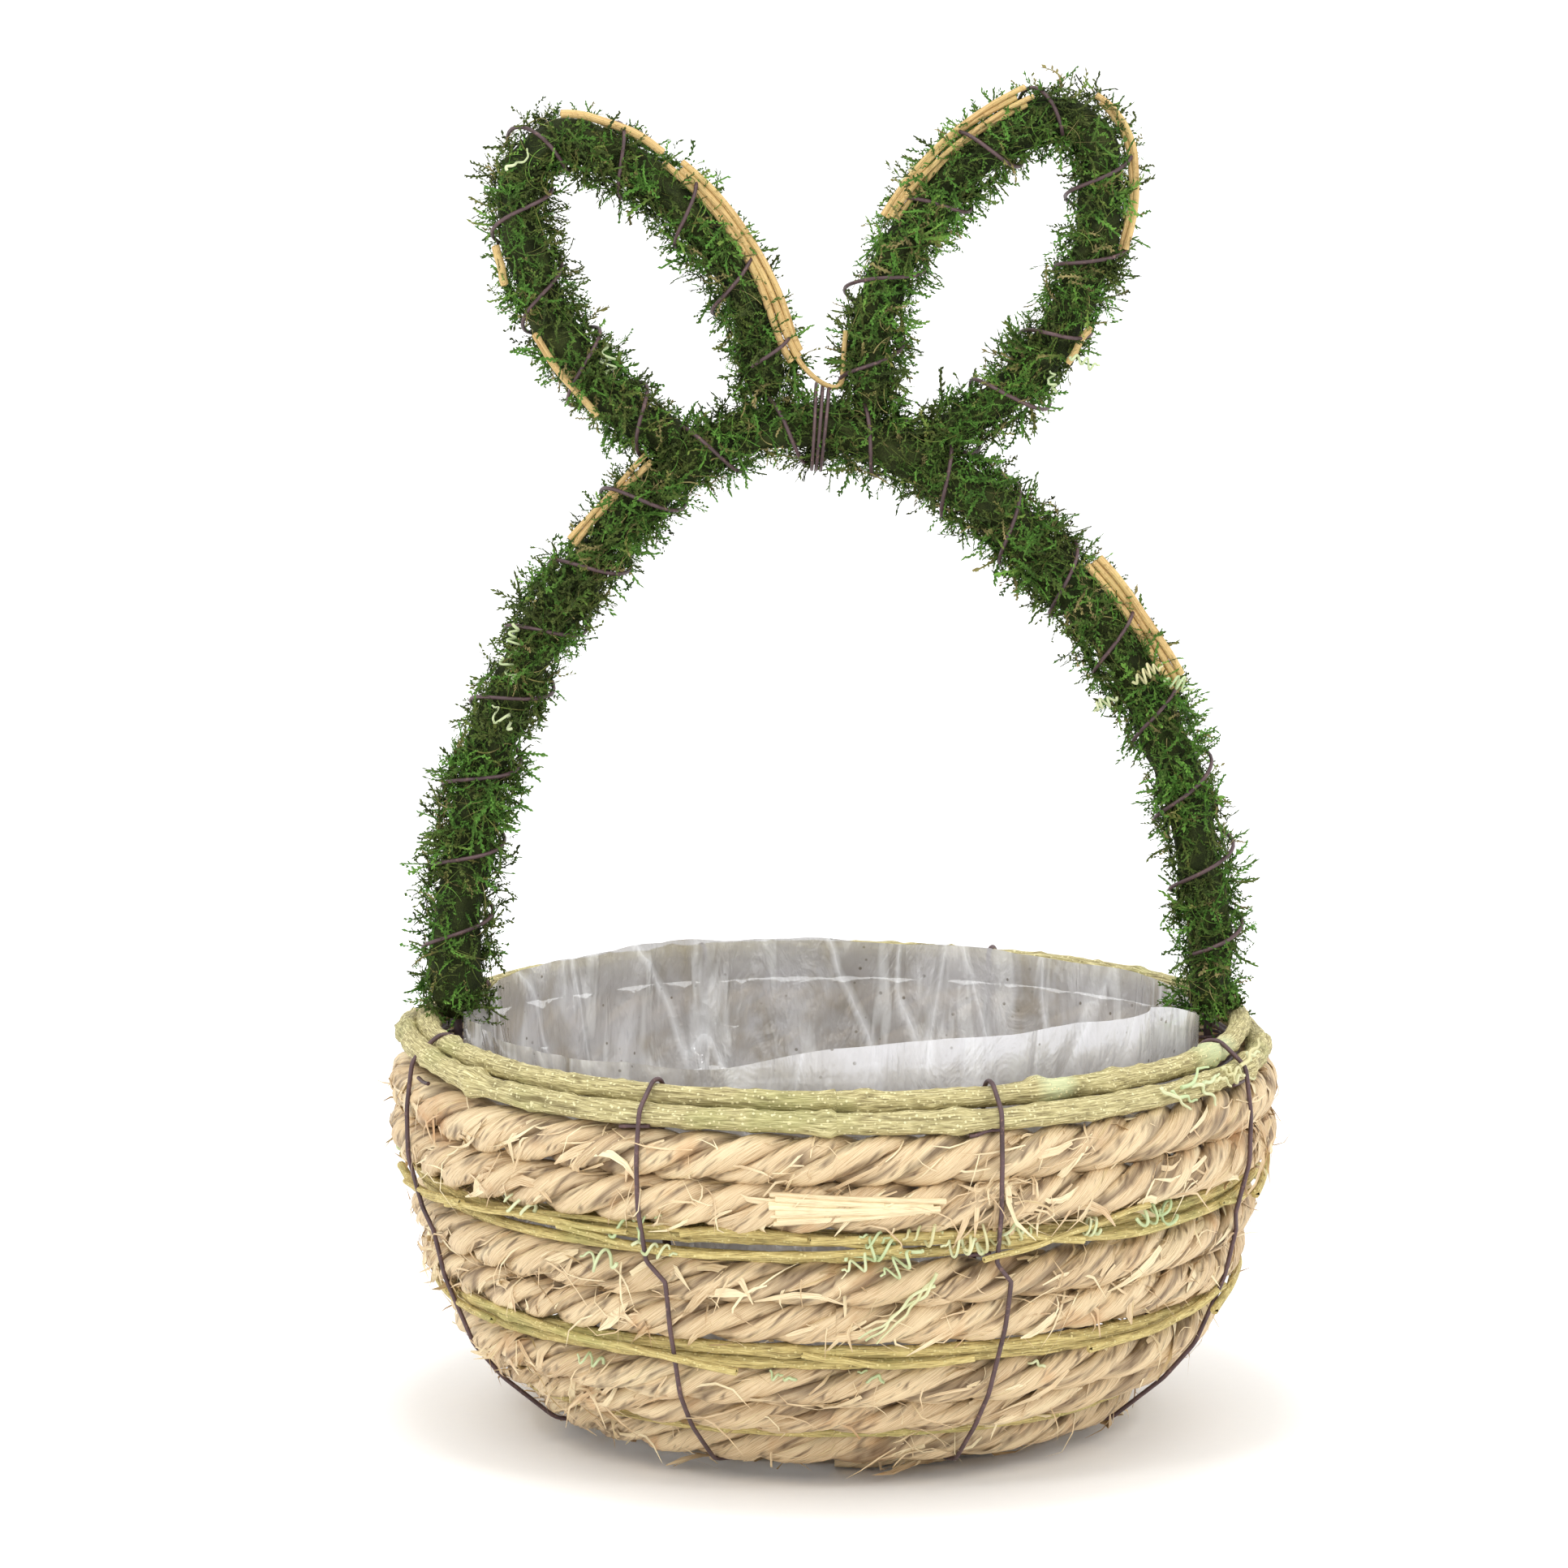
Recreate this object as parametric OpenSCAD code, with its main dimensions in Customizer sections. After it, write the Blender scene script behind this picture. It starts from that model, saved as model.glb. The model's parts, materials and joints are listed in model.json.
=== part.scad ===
/* [Bowl] */
// Radius of the two top rope rings, at the middle of the rope
rope_ring_r = 124.5; // [110:0.5:140]
// Radius of a straw rope in the upper wall
rope_r = 6.6; // [5:0.1:6.6]
// Radius of a straw rope in the lower wall
lower_rope_r = 6; // [5:0.1:6]
// Radius of the outermost turn of the base coil
base_ring_r = 70.5; // [64:0.5:72]
// Number of turns in the base coil
base_turns = 6; // [4:1:6]
// How much of the rope is flattened where the base stands
base_flat = 0.3; // [0.1:0.1:0.6]

/* [Rim] */
// Radius of the upper rim vine
rim_upper_r = 4.1; // [3:0.1:4.1]
// Radius of the lower rim vine
rim_lower_r = 4.3; // [3:0.1:4.3]

/* [Wire] */
// Radius of the rim, base and hub rings of the frame
frame_wire_r = 1.2; // [0.8:0.1:1.3]
// Radius of an inner rib wire
rib_r = 1.2; // [0.8:0.1:1.2]
// Radius of an outer lashing wire
lash_r = 0.65; // [0.4:0.05:0.65]
// Number of ribs, and of lashings
rib_count = 8; // [6:2:8]
// Turn of the first rib from the front
first_rib_turn = -70; // [-80:1:-60]

/* [Liner] */
// Thickness of the plastic film
liner_t = 0.3; // [0.1:0.05:0.4]
// Height of the top edge of the film
liner_top_z = 124; // [118:0.5:128]

/* [Handle] */
// Half the distance between the two feet
foot_half_span = 111.5; // [108:0.5:113]
// Height of the feet inside the wall
foot_z = 82; // [75:1:95]
// Height where the arch starts to curve
spring_z = 138; // [132:1:144]
// Height of the middle of the arch at its crown
crown_z = 296; // [280:1:310]
// How far the crown leans to the left
crown_lean = 9; // [0:0.5:12]
// Radius of the crown's curve
crown_r = 61; // [61:1:66]
// Outer radius of the moss on the handle
handle_moss_r = 12; // [10:0.5:13]

/* [Ears] */
// Outer radius of the moss on an ear
ear_moss_r = 11; // [9:0.5:11.5]
// Half the width of an ear loop, between the middles of its moss
ear_half_w = 26; // [25:0.5:30]
// Radius of the curve at an ear's tip
ear_tip_r = 14; // [13.5:0.5:18]
// Radius of an ear's long sides
ear_side_r = 84; // [80:1:90]

/* [Hidden] */
$fn = 48;
clear = 0.25;
// The balls at the joints of a bent bar: how much wider they are, and how far the bars stop short
joint_swell = 1.04;
joint_nip = 0.1;

// One course of the wall: its ring is drawn in this far from the two top rope rings
function course(drawn_in, height, r) = [rope_ring_r - drawn_in, height, r];

// Straw ropes from the rim down
ROPES = [
    course(0, 102.3, rope_r),
    course(0, 89, rope_r),
    course(5.7, 66.4, lower_rope_r + 0.1),
    course(8.5, 54.4, lower_rope_r),
    course(17, 34.5, lower_rope_r),
    course(25, 25.1, lower_rope_r),
    course(40.1, 12.3, lower_rope_r)
];
RIM_UPPER = course(4.3, 120, rim_upper_r);
RIM_LOWER = course(-1.8, 113.4, rim_lower_r);
// Thin vine stems that fill the two gaps in the wall, and the one by the base
BAND_A = [course(0.5, 79.7, 2.5), course(3.2, 75, 2.2), course(5.6, 80, 2.1)];
BAND_B = [course(8.4, 45.8, 2.5), course(12, 42, 2.4)];
BASE_VINE = course(29.9, 17.6, 2.3);

// The base coil: its rope, the step between its turns, and the knob that its inner end makes
base_rope_r = 6.5;
base_rope_z = base_rope_r - base_flat;
base_pitch = 12.5;
base_knob_r = 8.5;
base_knob_h = base_rope_z + 2;
BASE = [base_ring_r, base_rope_z, base_rope_r];

// Rings of the wire frame
RIM_RING = course(5, 112.5, frame_wire_r);
BASE_RING = course(47.5, 14.2, frame_wire_r);
HUB_RING = [20, BASE_RING[1], frame_wire_r];

// The wall as a chain from the rim to the base, and the outward direction at each rope in it
WALL = concat([RIM_LOWER], ROPES, [BASE]);
function unit(v) = v / norm(v);
function flat2(v) = [v[0], v[1]];
function outward(i) =
    let (d = unit(flat2(WALL[i + 1]) - flat2(WALL[i - 1])))
    [-d[1], d[0]];
function wall_point(i, gap) = flat2(WALL[i]) + (WALL[i][2] + gap) * outward(i);

// Ribs lie against the inside of the ropes, the film lies inside the ribs
rib_gap = rib_r + clear;
rib_top_z = RIM_RING[1] - 1.5;
rib_heel_r = base_ring_r - 2;
rib_floor_z = BASE_RING[1] + frame_wire_r + rib_r + clear;
RIB = concat(
    [[rope_ring_r - rope_r - rib_gap, rib_top_z]],
    [for (i = [2 : len(ROPES)]) wall_point(i, -2 * WALL[i][2] - rib_gap)],
    [[rib_heel_r, rib_floor_z], [HUB_RING[0], rib_floor_z]]
);

// Lashings hook over the rim, run down over the ropes and end in the groove by the base coil
lash_gap = lash_r + 2 * clear;
rim_hook = rim_upper_r + lash_gap;
hook_corner = rim_hook / 2;
hook_tail = 6;
LASH_TOE = [base_ring_r + 9.3, 4.4];
LASH_END = [base_ring_r + 6.5, BASE_RING[1] - frame_wire_r - lash_r - clear];
LASH = concat(
    [
        [RIM_UPPER[0] - rim_hook, RIM_UPPER[1] - hook_tail],
        [RIM_UPPER[0] - rim_hook, RIM_UPPER[1] + hook_corner],
        [RIM_UPPER[0] - hook_corner, RIM_UPPER[1] + rim_hook],
        [RIM_UPPER[0] + hook_corner, RIM_UPPER[1] + rim_hook],
        [RIM_LOWER[0] + rim_lower_r + lash_gap, RIM_LOWER[1] + 2]
    ],
    [for (i = [1 : len(ROPES)]) wall_point(i, lash_gap)],
    [LASH_TOE, LASH_END]
);

// The film hangs inside the ribs and the rim hooks, and wraps around the handle's feet
film_r = RIM_UPPER[0] - rim_hook - lash_r - clear;
film_gap = 2 * rib_r + 2 * clear;
film_floor_z = rib_floor_z + rib_r + clear;
film_toe_r = base_ring_r - 4;
film_bend_z = 85;
function film_profile(inset) = concat(
    [[0, film_floor_z + inset], [film_toe_r - inset, film_floor_z + inset]],
    [for (i = [len(ROPES) : -1 : 3])
        wall_point(i, -2 * WALL[i][2] - film_gap - inset)],
    [
        [film_r - inset, film_bend_z],
        [film_r - inset, liner_top_z + inset],
        [0, liner_top_z + inset]
    ]
);

// A path is a list of steps [bend radius, turn]: a left turn is positive, and a turn of 0 is a
// straight run of that length. The arch has one crown curve and two flatter sides.
arch_rise = crown_z - spring_z;
side_left = foot_half_span - crown_lean;
side_right = foot_half_span + crown_lean;
function side_turn(reach) = 2 * atan((reach - crown_r) / (arch_rise - crown_r));
function side_bend(reach) = crown_r + (arch_rise - crown_r) / sin(side_turn(reach));
ARCH = [
    [side_bend(side_left), -side_turn(side_left)],
    [crown_r, side_turn(side_left) + side_turn(side_right) - 180],
    [side_bend(side_right), -side_turn(side_right)]
];
foot_len = spring_z - foot_z;
// Middle and outer radius of the room that a foot, its stems and its tie wire take up
foot_mid = foot_half_span - 1.6;
foot_room_r = 6.8;
foot_tie_r = 5.6;
FOOT_TIES = [foot_z + 6, foot_z + 12, foot_z + 33];
ARCH_WITH_FEET = concat([[foot_len, 0]], ARCH, [[foot_len, 0]]);
moss_foot_z = RIM_UPPER[1] + rim_hook + lash_r + 0.5;
core_wire_r = 1.3;
stem_r = 1.6;
stem_gap = core_wire_r + stem_r + 0.1;
handle_hollow_r = 5.5;
binding_r = 0.5;
binding_gap = binding_r + 0.1;

// Turns of binding wire: how far along each curve of the arch, and of an ear, they sit
ARCH_TURNS = [[0.08 : 0.12 : 0.92], [0.2, 0.32, 0.58, 0.9], [0.14 : 0.12 : 0.9]];
EAR_TURNS = [[0.42, 0.62, 0.82], [0.3, 0.7], [0.18, 0.38, 0.58]];

// An ear is two long side curves and a round tip; its splay sets its length.
// Each ear: [distance of its base from the crown, lean to the left, splay,
// turn cut off its left leg so that it ends on the core wire, the same on its right leg].
// A leg that has to be longer to get there has a cut below 0.
EAR_LEFT = [-19, 34.5, 35.5, 4.1, -1];
EAR_RIGHT = [25, -30.5, 41.5, 1.5, 3];
ear_wire_r = 1.1;
ear_stem_gap = ear_wire_r + stem_r + 0.1;
ear_hollow_r = 4.8;
ear_socket_r = 5.6;
ear_socket_len = 20;
// Distance from the foot of a leg to its moss
ear_leg_bare = [[15.5, 12], [14.5, 18.5]];
// Turns from the crown to the first tie wire in the notch between the ears, and between the three
notch_turn = 3;
tie_step = 1.5;
function tip_turn() = 90 - atan2(
    sqrt((ear_half_w - ear_tip_r) * (2 * ear_side_r - ear_tip_r - ear_half_w)),
    ear_side_r - ear_half_w
);
function side_turn_of(ear) = 90 + ear[2] - tip_turn();
function ear_base_half(ear) = ear_half_w - ear_side_r * (1 - cos(ear[2]));
function ear_path(ear, cut_left, cut_right) = [
    [ear_side_r, cut_left - side_turn_of(ear)],
    [ear_tip_r, -2 * tip_turn()],
    [ear_side_r, cut_right - side_turn_of(ear)]
];

function numbered(stem, count) = [for (i = [1 : count]) str(stem, i)];

// ---- shared shapes ----

// A ring around the Z axis: course is [ring radius, height, section radius]
module ring(course) {
    translate([0, 0, course[1]])
        rotate_extrude()
            translate([course[0], 0])
                circle(course[2]);
}

// One step of a path as a round bar, starting at the origin along +X. Its ends stop a little
// short, inside the balls that join the steps. shift is [to the left of the path, out of its plane].
module step_bar(step, r, shift) {
    nip = joint_nip * r;
    if (step[1] == 0)
        translate([nip, shift[0], shift[1]])
            rotate([0, 90, 0])
                cylinder(h = step[0] - 2 * nip, r = r);
    else {
        side = sign(step[1]);
        nip_turn = nip / step[0] * 180 / PI;
        rotate([side < 0 ? 180 : 0, 0, 0])
            translate([0, step[0], 0])
                rotate(nip_turn - 90)
                    rotate_extrude(angle = abs(step[1]) - 2 * nip_turn)
                        translate([step[0] - side * shift[0], side * shift[1]])
                            circle(r);
    }
}

// Moves the children along a curve
module around_bend(bend, turn) {
    side = turn < 0 ? -1 : 1;
    translate([0, side * bend, 0])
        rotate(turn)
            translate([0, -side * bend, 0])
                children();
}

// Moves the children to the end of a step
module step_end(step) {
    if (step[1] == 0)
        translate([step[0], 0, 0])
            children();
    else
        around_bend(step[0], step[1])
            children();
}

module path_bar(path, r, shift = [0, 0], i = 0) {
    if (i < len(path)) {
        if (i > 0)
            translate([0, shift[0], shift[1]])
                sphere(joint_swell * r);
        step_bar(path[i], r, shift);
        step_end(path[i])
            path_bar(path, r, shift, i + 1);
    }
}

// Wire turns around a path; places holds how far along each step they sit, from 0 to 1
module path_turns(path, places, turn_r, wire_r, i = 0) {
    if (i < len(path)) {
        for (t = places[i])
            around_bend(path[i][0], path[i][1] * t)
                rotate([0, 90, 0])
                    rotate_extrude()
                        translate([turn_r, 0])
                            circle(wire_r);
        step_end(path[i])
            path_turns(path, places, turn_r, wire_r, i + 1);
    }
}

// A bent wire through points [radius, height], standing in the plane at this turn from the front
module bent_wire(points, r, turn) {
    nip = joint_nip * r;
    rotate(turn - 90)
        rotate([90, 0, 0])
            for (i = [0 : len(points) - 2]) {
                run = points[i + 1] - points[i];
                translate(points[i])
                    rotate(atan2(run[1], run[0])) {
                        translate([nip, 0, 0])
                            rotate([0, 90, 0])
                                cylinder(h = norm(run) - 2 * nip, r = r);
                        if (i > 0) sphere(joint_swell * r);
                    }
            }
}

function rib_turn(i) = first_rib_turn + (i - 1) * 360 / rib_count;

// Places an upright path in the XZ plane, starting at this point
module upright(x, z, lean) {
    translate([x, 0, z])
        rotate([90, 0, 0])
            rotate(lean)
                children();
}

module arch_with_feet(r, shift = [0, 0]) {
    upright(-foot_half_span, foot_z, 90)
        path_bar(ARCH_WITH_FEET, r, shift);
}

// Places the children at the foot of an ear's left leg, heading up it
module at_ear(ear, cut) {
    crown_angle = asin(ear[0] / crown_r);
    upright(-crown_lean + ear[0], crown_z - crown_r + crown_r * cos(crown_angle), ear[1])
        translate([-ear_base_half(ear), 0, 0])
            rotate(90 + ear[2])
                around_bend(ear_side_r, -cut)
                    children();
}

// cuts is the turn cut off each leg
module ear_bar(ear, r, cuts, shift = [0, 0]) {
    at_ear(ear, cuts[0])
        path_bar(ear_path(ear, cuts[0], cuts[1]), r, shift);
}

// ---- wire frame ----

module frame_ring(course) {
    color("#4a3d40")
        ring(course);
}

module rib_wire(i) {
    color("#4a3d40")
        bent_wire(RIB, rib_r, rib_turn(i));
}

module lash_wire(i) {
    color("#5a4344")
        bent_wire(LASH, lash_r, rib_turn(i));
}

// ---- woven wall ----

module rim_vine(course) {
    color("#b9ab68")
        ring(course);
}

module straw_rope(i) {
    color("#cfa873")
        ring(ROPES[i - 1]);
}

// A flat coil of rope, flattened underneath where it stands
module base_coil() {
    color("#c9a06a")
        difference() {
            union() {
                for (i = [0 : base_turns - 1])
                    ring([base_ring_r - i * base_pitch, base_rope_z, base_rope_r]);
                if (base_ring_r - (base_turns - 1) * base_pitch < base_pitch)
                    cylinder(h = base_knob_h, r = base_knob_r);
            }
            translate([0, 0, -base_rope_r])
                cylinder(h = base_rope_r, r = 2 * base_ring_r);
        }
}

module vine_stem(course) {
    color("#a9a85c")
        ring(course);
}

// ---- liner ----

module foot_columns(r) {
    for (side = [-1, 1])
        translate([side * foot_mid, 0, foot_z - foot_room_r])
            cylinder(h = 2 * foot_len, r = r);
}

module film_body(inset) {
    difference() {
        rotate_extrude()
            polygon(film_profile(inset));
        foot_columns(foot_room_r + inset);
    }
}

module liner_film() {
    color("#b9b8ba")
        difference() {
            film_body(0);
            film_body(liner_t);
        }
}

// ---- handle ----

module handle_wire() {
    color("#4a3d40")
        arch_with_feet(core_wire_r);
}

// Stems lie to the front, to the back and on the inside of the core wire
module handle_stem(i) {
    color("#d2ad6c")
        arch_with_feet(stem_r, [[0, stem_gap], [0, -stem_gap], [-stem_gap, 0]][i - 1]);
}

// Sockets in the handle's moss for an ear's two legs
module ear_sockets(ear) {
    cuts = [ear[3], ear[4]];
    path = ear_path(ear, cuts[0], cuts[1]);
    at_ear(ear, cuts[0]) {
        rotate([0, 90, 0])
            cylinder(h = ear_socket_len, r = ear_socket_r);
        step_end(path[0])
            step_end(path[1])
                step_end(path[2])
                    rotate([0, -90, 0])
                        cylinder(h = ear_socket_len, r = ear_socket_r);
    }
}

// A sleeve of moss from rim to rim
module handle_moss() {
    color("#4f7030")
        difference() {
            intersection() {
                arch_with_feet(handle_moss_r);
                translate([-2 * crown_z, -crown_z, moss_foot_z])
                    cube([4 * crown_z, 2 * crown_z, crown_z]);
            }
            arch_with_feet(handle_hollow_r);
            ear_sockets(EAR_LEFT);
            ear_sockets(EAR_RIGHT);
        }
}

module handle_binding() {
    color("#5a4344")
        upright(-foot_half_span, spring_z, 90)
            path_turns(ARCH, ARCH_TURNS, handle_moss_r + binding_gap, binding_r);
}

// Turns of tie wire around the foot of the handle, below the rim
module handle_tie(side) {
    color("#5a4344")
        for (z = FOOT_TIES)
            translate([side * foot_mid, 0, z])
                ring([foot_tie_r, 0, binding_r]);
}

// ---- ears ----

module ear_wire(ear) {
    color("#4a3d40")
        ear_bar(ear, ear_wire_r, [ear[3], ear[4]]);
}

module ear_stem(ear) {
    color("#d2ad6c")
        ear_bar(ear, stem_r, [ear[3], ear[4]], [0, ear_stem_gap]);
}

// The moss of an ear starts just above the handle's moss
module ear_moss(ear, bare) {
    cuts = [ear[3], ear[4]];
    bare_turns = cuts + bare / ear_side_r * 180 / PI;
    color("#587a34")
        difference() {
            ear_bar(ear, ear_moss_r, bare_turns);
            ear_bar(ear, ear_hollow_r, cuts);
        }
}

module ear_binding(ear) {
    color("#5a4344")
        at_ear(ear, 0)
            path_turns(ear_path(ear, 0, 0), EAR_TURNS, ear_moss_r + binding_gap, binding_r);
}

// Turns of tie wire over the crown, in the notch between the ears
module ear_junction_tie() {
    color("#5a4344")
        for (k = [0 : 2])
            translate([-crown_lean, 0, crown_z - crown_r])
                rotate([0, notch_turn + tie_step * k, 0])
                    translate([0, 0, crown_r])
                        rotate([0, 90, 0])
                            rotate_extrude()
                                translate([handle_moss_r + binding_gap, 0])
                                    circle(binding_r);
}

// ---- the nodes ----

frame_ring(RIM_RING);  // frame_rim_ring
frame_ring(BASE_RING);  // frame_base_ring
frame_ring(HUB_RING);  // frame_hub_ring
for (i = [1 : rib_count])
    rib_wire(i);
rim_vine(RIM_UPPER);  // rim_vine_upper
rim_vine(RIM_LOWER);  // rim_vine_lower
for (i = [1 : len(ROPES)])
    straw_rope(i);
base_coil();
for (i = [1 : len(BAND_A)])
    vine_stem(BAND_A[i - 1]);
for (i = [1 : len(BAND_B)])
    vine_stem(BAND_B[i - 1]);
vine_stem(BASE_VINE);  // vine_base_stem
liner_film();
for (i = [1 : rib_count])
    lash_wire(i);
handle_wire();
for (i = [1 : 3])
    handle_stem(i);
handle_moss();
handle_binding();
handle_tie(-1);  // handle_tie_left
handle_tie(1);  // handle_tie_right
ear_wire(EAR_LEFT);  // ear_left_wire
ear_stem(EAR_LEFT);  // ear_left_stem
ear_moss(EAR_LEFT, ear_leg_bare[0]);  // ear_left_moss
ear_binding(EAR_LEFT);  // ear_left_binding
ear_wire(EAR_RIGHT);  // ear_right_wire
ear_stem(EAR_RIGHT);  // ear_right_stem
ear_moss(EAR_RIGHT, ear_leg_bare[1]);  // ear_right_moss
ear_binding(EAR_RIGHT);  // ear_right_binding
ear_junction_tie();
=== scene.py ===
"""The looks of a bunny-ear easter basket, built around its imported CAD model. Metres, +Z up, front at -Y."""

import json
import math

import bpy
import numpy as np
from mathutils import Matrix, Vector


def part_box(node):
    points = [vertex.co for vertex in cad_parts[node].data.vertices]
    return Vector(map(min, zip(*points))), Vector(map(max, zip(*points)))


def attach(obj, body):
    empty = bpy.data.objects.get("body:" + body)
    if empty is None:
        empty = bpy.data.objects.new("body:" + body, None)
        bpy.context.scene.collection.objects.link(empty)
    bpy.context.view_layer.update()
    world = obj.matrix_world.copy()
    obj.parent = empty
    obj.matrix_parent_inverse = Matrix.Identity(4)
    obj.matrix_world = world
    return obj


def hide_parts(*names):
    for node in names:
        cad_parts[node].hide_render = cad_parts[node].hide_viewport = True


MM = 0.001
TURN = 2 * math.pi
BODY = "root"

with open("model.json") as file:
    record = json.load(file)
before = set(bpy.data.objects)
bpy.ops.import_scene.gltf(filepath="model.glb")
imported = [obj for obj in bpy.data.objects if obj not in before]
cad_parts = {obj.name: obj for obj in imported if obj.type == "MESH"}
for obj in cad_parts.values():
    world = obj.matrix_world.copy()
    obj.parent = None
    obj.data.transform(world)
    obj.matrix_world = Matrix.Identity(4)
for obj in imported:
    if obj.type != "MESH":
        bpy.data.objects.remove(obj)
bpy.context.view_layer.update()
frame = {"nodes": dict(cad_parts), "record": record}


# ---- numbers that vary smoothly ----


def dice(seed):
    """A seeded source of random numbers, so that every run is the same."""
    return np.random.default_rng(seed)


def wave(rng, t, first, last, size):
    """A smooth ripple over the angle t that closes on itself, made of harmonics first to last."""
    total = np.zeros_like(t)
    for k in range(first, last + 1):
        total += rng.normal() * np.sin(k * t + rng.uniform(0, TURN)) / math.sqrt(k)
    return size * total / math.sqrt(last - first + 1)


def patches(rng, u, v, cells_u, cells_v):
    """Smooth noise from 0 to 1 that repeats over u and v from 0 to 1."""
    grid = rng.random((cells_u, cells_v))
    u, v = np.broadcast_arrays(u * cells_u, v * cells_v)
    i, j = np.floor(u).astype(int), np.floor(v).astype(int)
    a, b = u - i, v - j
    a, b = a * a * (3 - 2 * a), b * b * (3 - 2 * b)
    low = grid[i % cells_u, j % cells_v] * (1 - a) + grid[(i + 1) % cells_u, j % cells_v] * a
    high = grid[i % cells_u, (j + 1) % cells_v] * (1 - a) + grid[(i + 1) % cells_u, (j + 1) % cells_v] * a
    return low * (1 - b) + high * b


def folds(rng, u, v, cells_u, cells_v):
    """Rounded ridges with sharp valleys between them, from 0 to 1."""
    return np.abs(2 * patches(rng, u, v, cells_u, cells_v) - 1) ** 0.7


def bump(x, middle, width):
    """A smooth hump of height 1."""
    return np.exp(-(((x - middle) / width) ** 2))


def smoothed(path, times):
    """The rows of a path, evened out, with its two ends kept."""
    for _ in range(times):
        path[1:-1] = (path[:-2] + 2 * path[1:-1] + path[2:]) / 4
    return path


# ---- meshes ----


class Heap:
    """Shapes gathered into one mesh, each with a fibre map in metres, a tint, and a number for painted shade.
    """

    def __init__(self):
        self.points, self.faces, self.fibre, self.tint, self.shade_relief = [], [], [], [], []
        self.size = 0

    def add(self, points, faces, fibre, tint, shade_relief):
        """points n x 3, faces m x 4, fibre m x 4 x 2; tint and relief have one number for each point."""
        count = len(points)
        self.points.append(points)
        self.faces.append(faces + self.size)
        self.fibre.append(fibre)
        self.tint.append(np.broadcast_to(tint, count))
        self.shade_relief.append(np.broadcast_to(shade_relief, count))
        self.size += count

    def grid(self, points, along, across, tint=0.5, shade_relief=1.0, closed=(False, False)):
        """A sheet of rows x columns points. A closed way needs one more fibre value than it has points."""
        rows, columns = points.shape[:2]
        row_steps = np.arange(rows - (not closed[0]))
        column_steps = np.arange(columns - (not closed[1]))
        i, j = (a.ravel() for a in np.meshgrid(row_steps, column_steps, indexing="ij"))
        corners = [(i, j), (i, j + 1), (i + 1, j + 1), (i + 1, j)]
        faces = np.stack([(a % rows) * columns + b % columns for a, b in corners], axis=1)
        fibre = np.stack([np.stack([along[a], across[b]], axis=1) for a, b in corners], axis=1)
        tint = np.broadcast_to(tint, (rows, columns)).ravel()
        shade_relief = np.broadcast_to(shade_relief, (rows, columns)).ravel()
        self.add(points.reshape(-1, 3), faces, fibre, tint, shade_relief)

    def ribbons(self, middles, sides, tints):
        """Flat strips: middles is strips x steps x 3, and sides the way from there to one edge."""
        strips, steps = middles.shape[:2]
        points = np.stack([middles - sides, middles + sides], axis=2).reshape(-1, 3)
        first = (np.arange(strips)[:, None] * steps + np.arange(steps - 1)).ravel() * 2
        faces = np.stack([first, first + 1, first + 3, first + 2], axis=1)
        lengths = np.linalg.norm(np.diff(middles, axis=1), axis=2)
        along = np.concatenate([np.zeros((strips, 1)), np.cumsum(lengths, axis=1)], axis=1)
        width = np.linalg.norm(sides, axis=2)
        start = np.arange(strips)[:, None] * 7 * MM
        map_points = np.stack([np.stack([along + start, -width], 2), np.stack([along + start, width], 2)], 2)
        fibre = map_points.reshape(-1, 2)[faces]
        self.add(points, faces, fibre, np.repeat(tints, steps * 2), 1.0)

    def tube(self, path, radius, sides, tint=0.5, closed=False, rough=None):
        """A round bar along a path. rough(along, around) is what to add to its radius."""
        path = np.asarray(path, float)
        rows = len(path)
        if closed:
            ways = np.roll(path, -1, axis=0) - np.roll(path, 1, axis=0)
        else:
            ways = np.gradient(path, axis=0)
        ways /= np.linalg.norm(ways, axis=1, keepdims=True)
        first = carried_sides(ways, closed)
        second = np.cross(ways, first)
        steps = np.linalg.norm(np.diff(path, axis=0, append=path[:1]), axis=1)
        along = np.concatenate([[0], np.cumsum(steps)])
        turn = np.linspace(0, TURN, sides + 1)
        radius = np.broadcast_to(radius, rows)[:, None] * np.ones(sides)
        shade_relief = np.ones((rows, sides))
        if rough is not None:
            extra, shade_relief = rough(along[:rows, None] / along[-1], turn[None, :sides] / TURN)
            radius = radius + extra
        out = first[:, None] * np.cos(turn[:sides])[:, None] + second[:, None] * np.sin(turn[:sides])[:, None]
        points = path[:, None] + out * radius[:, :, None]
        self.grid(points, along, turn * float(radius.mean()), tint, shade_relief, (closed, True))
        if not closed:
            self.cap(path[0] - ways[0] * radius[0].mean() * 0.3, points[0], tint)
            self.cap(path[-1] + ways[-1] * radius[-1].mean() * 0.3, points[-1][::-1], tint)

    def cap(self, middle, ring, tint):
        """A low cone over the end of a tube, with two steps of the ring to a face."""
        count = len(ring) // 2 * 2
        k = np.arange(0, count, 2)
        faces = np.stack([np.full(len(k), len(ring)), (k + 2) % len(ring), k + 1, k], axis=1)
        points = np.concatenate([ring, [middle]])
        fibre = np.zeros((len(faces), 4, 2)) + np.stack([k, k * 0, k * 0, k], 1)[:, :, None] * 0.1 * MM
        self.add(points, faces, fibre, float(np.mean(tint)), 1.0)

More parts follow.
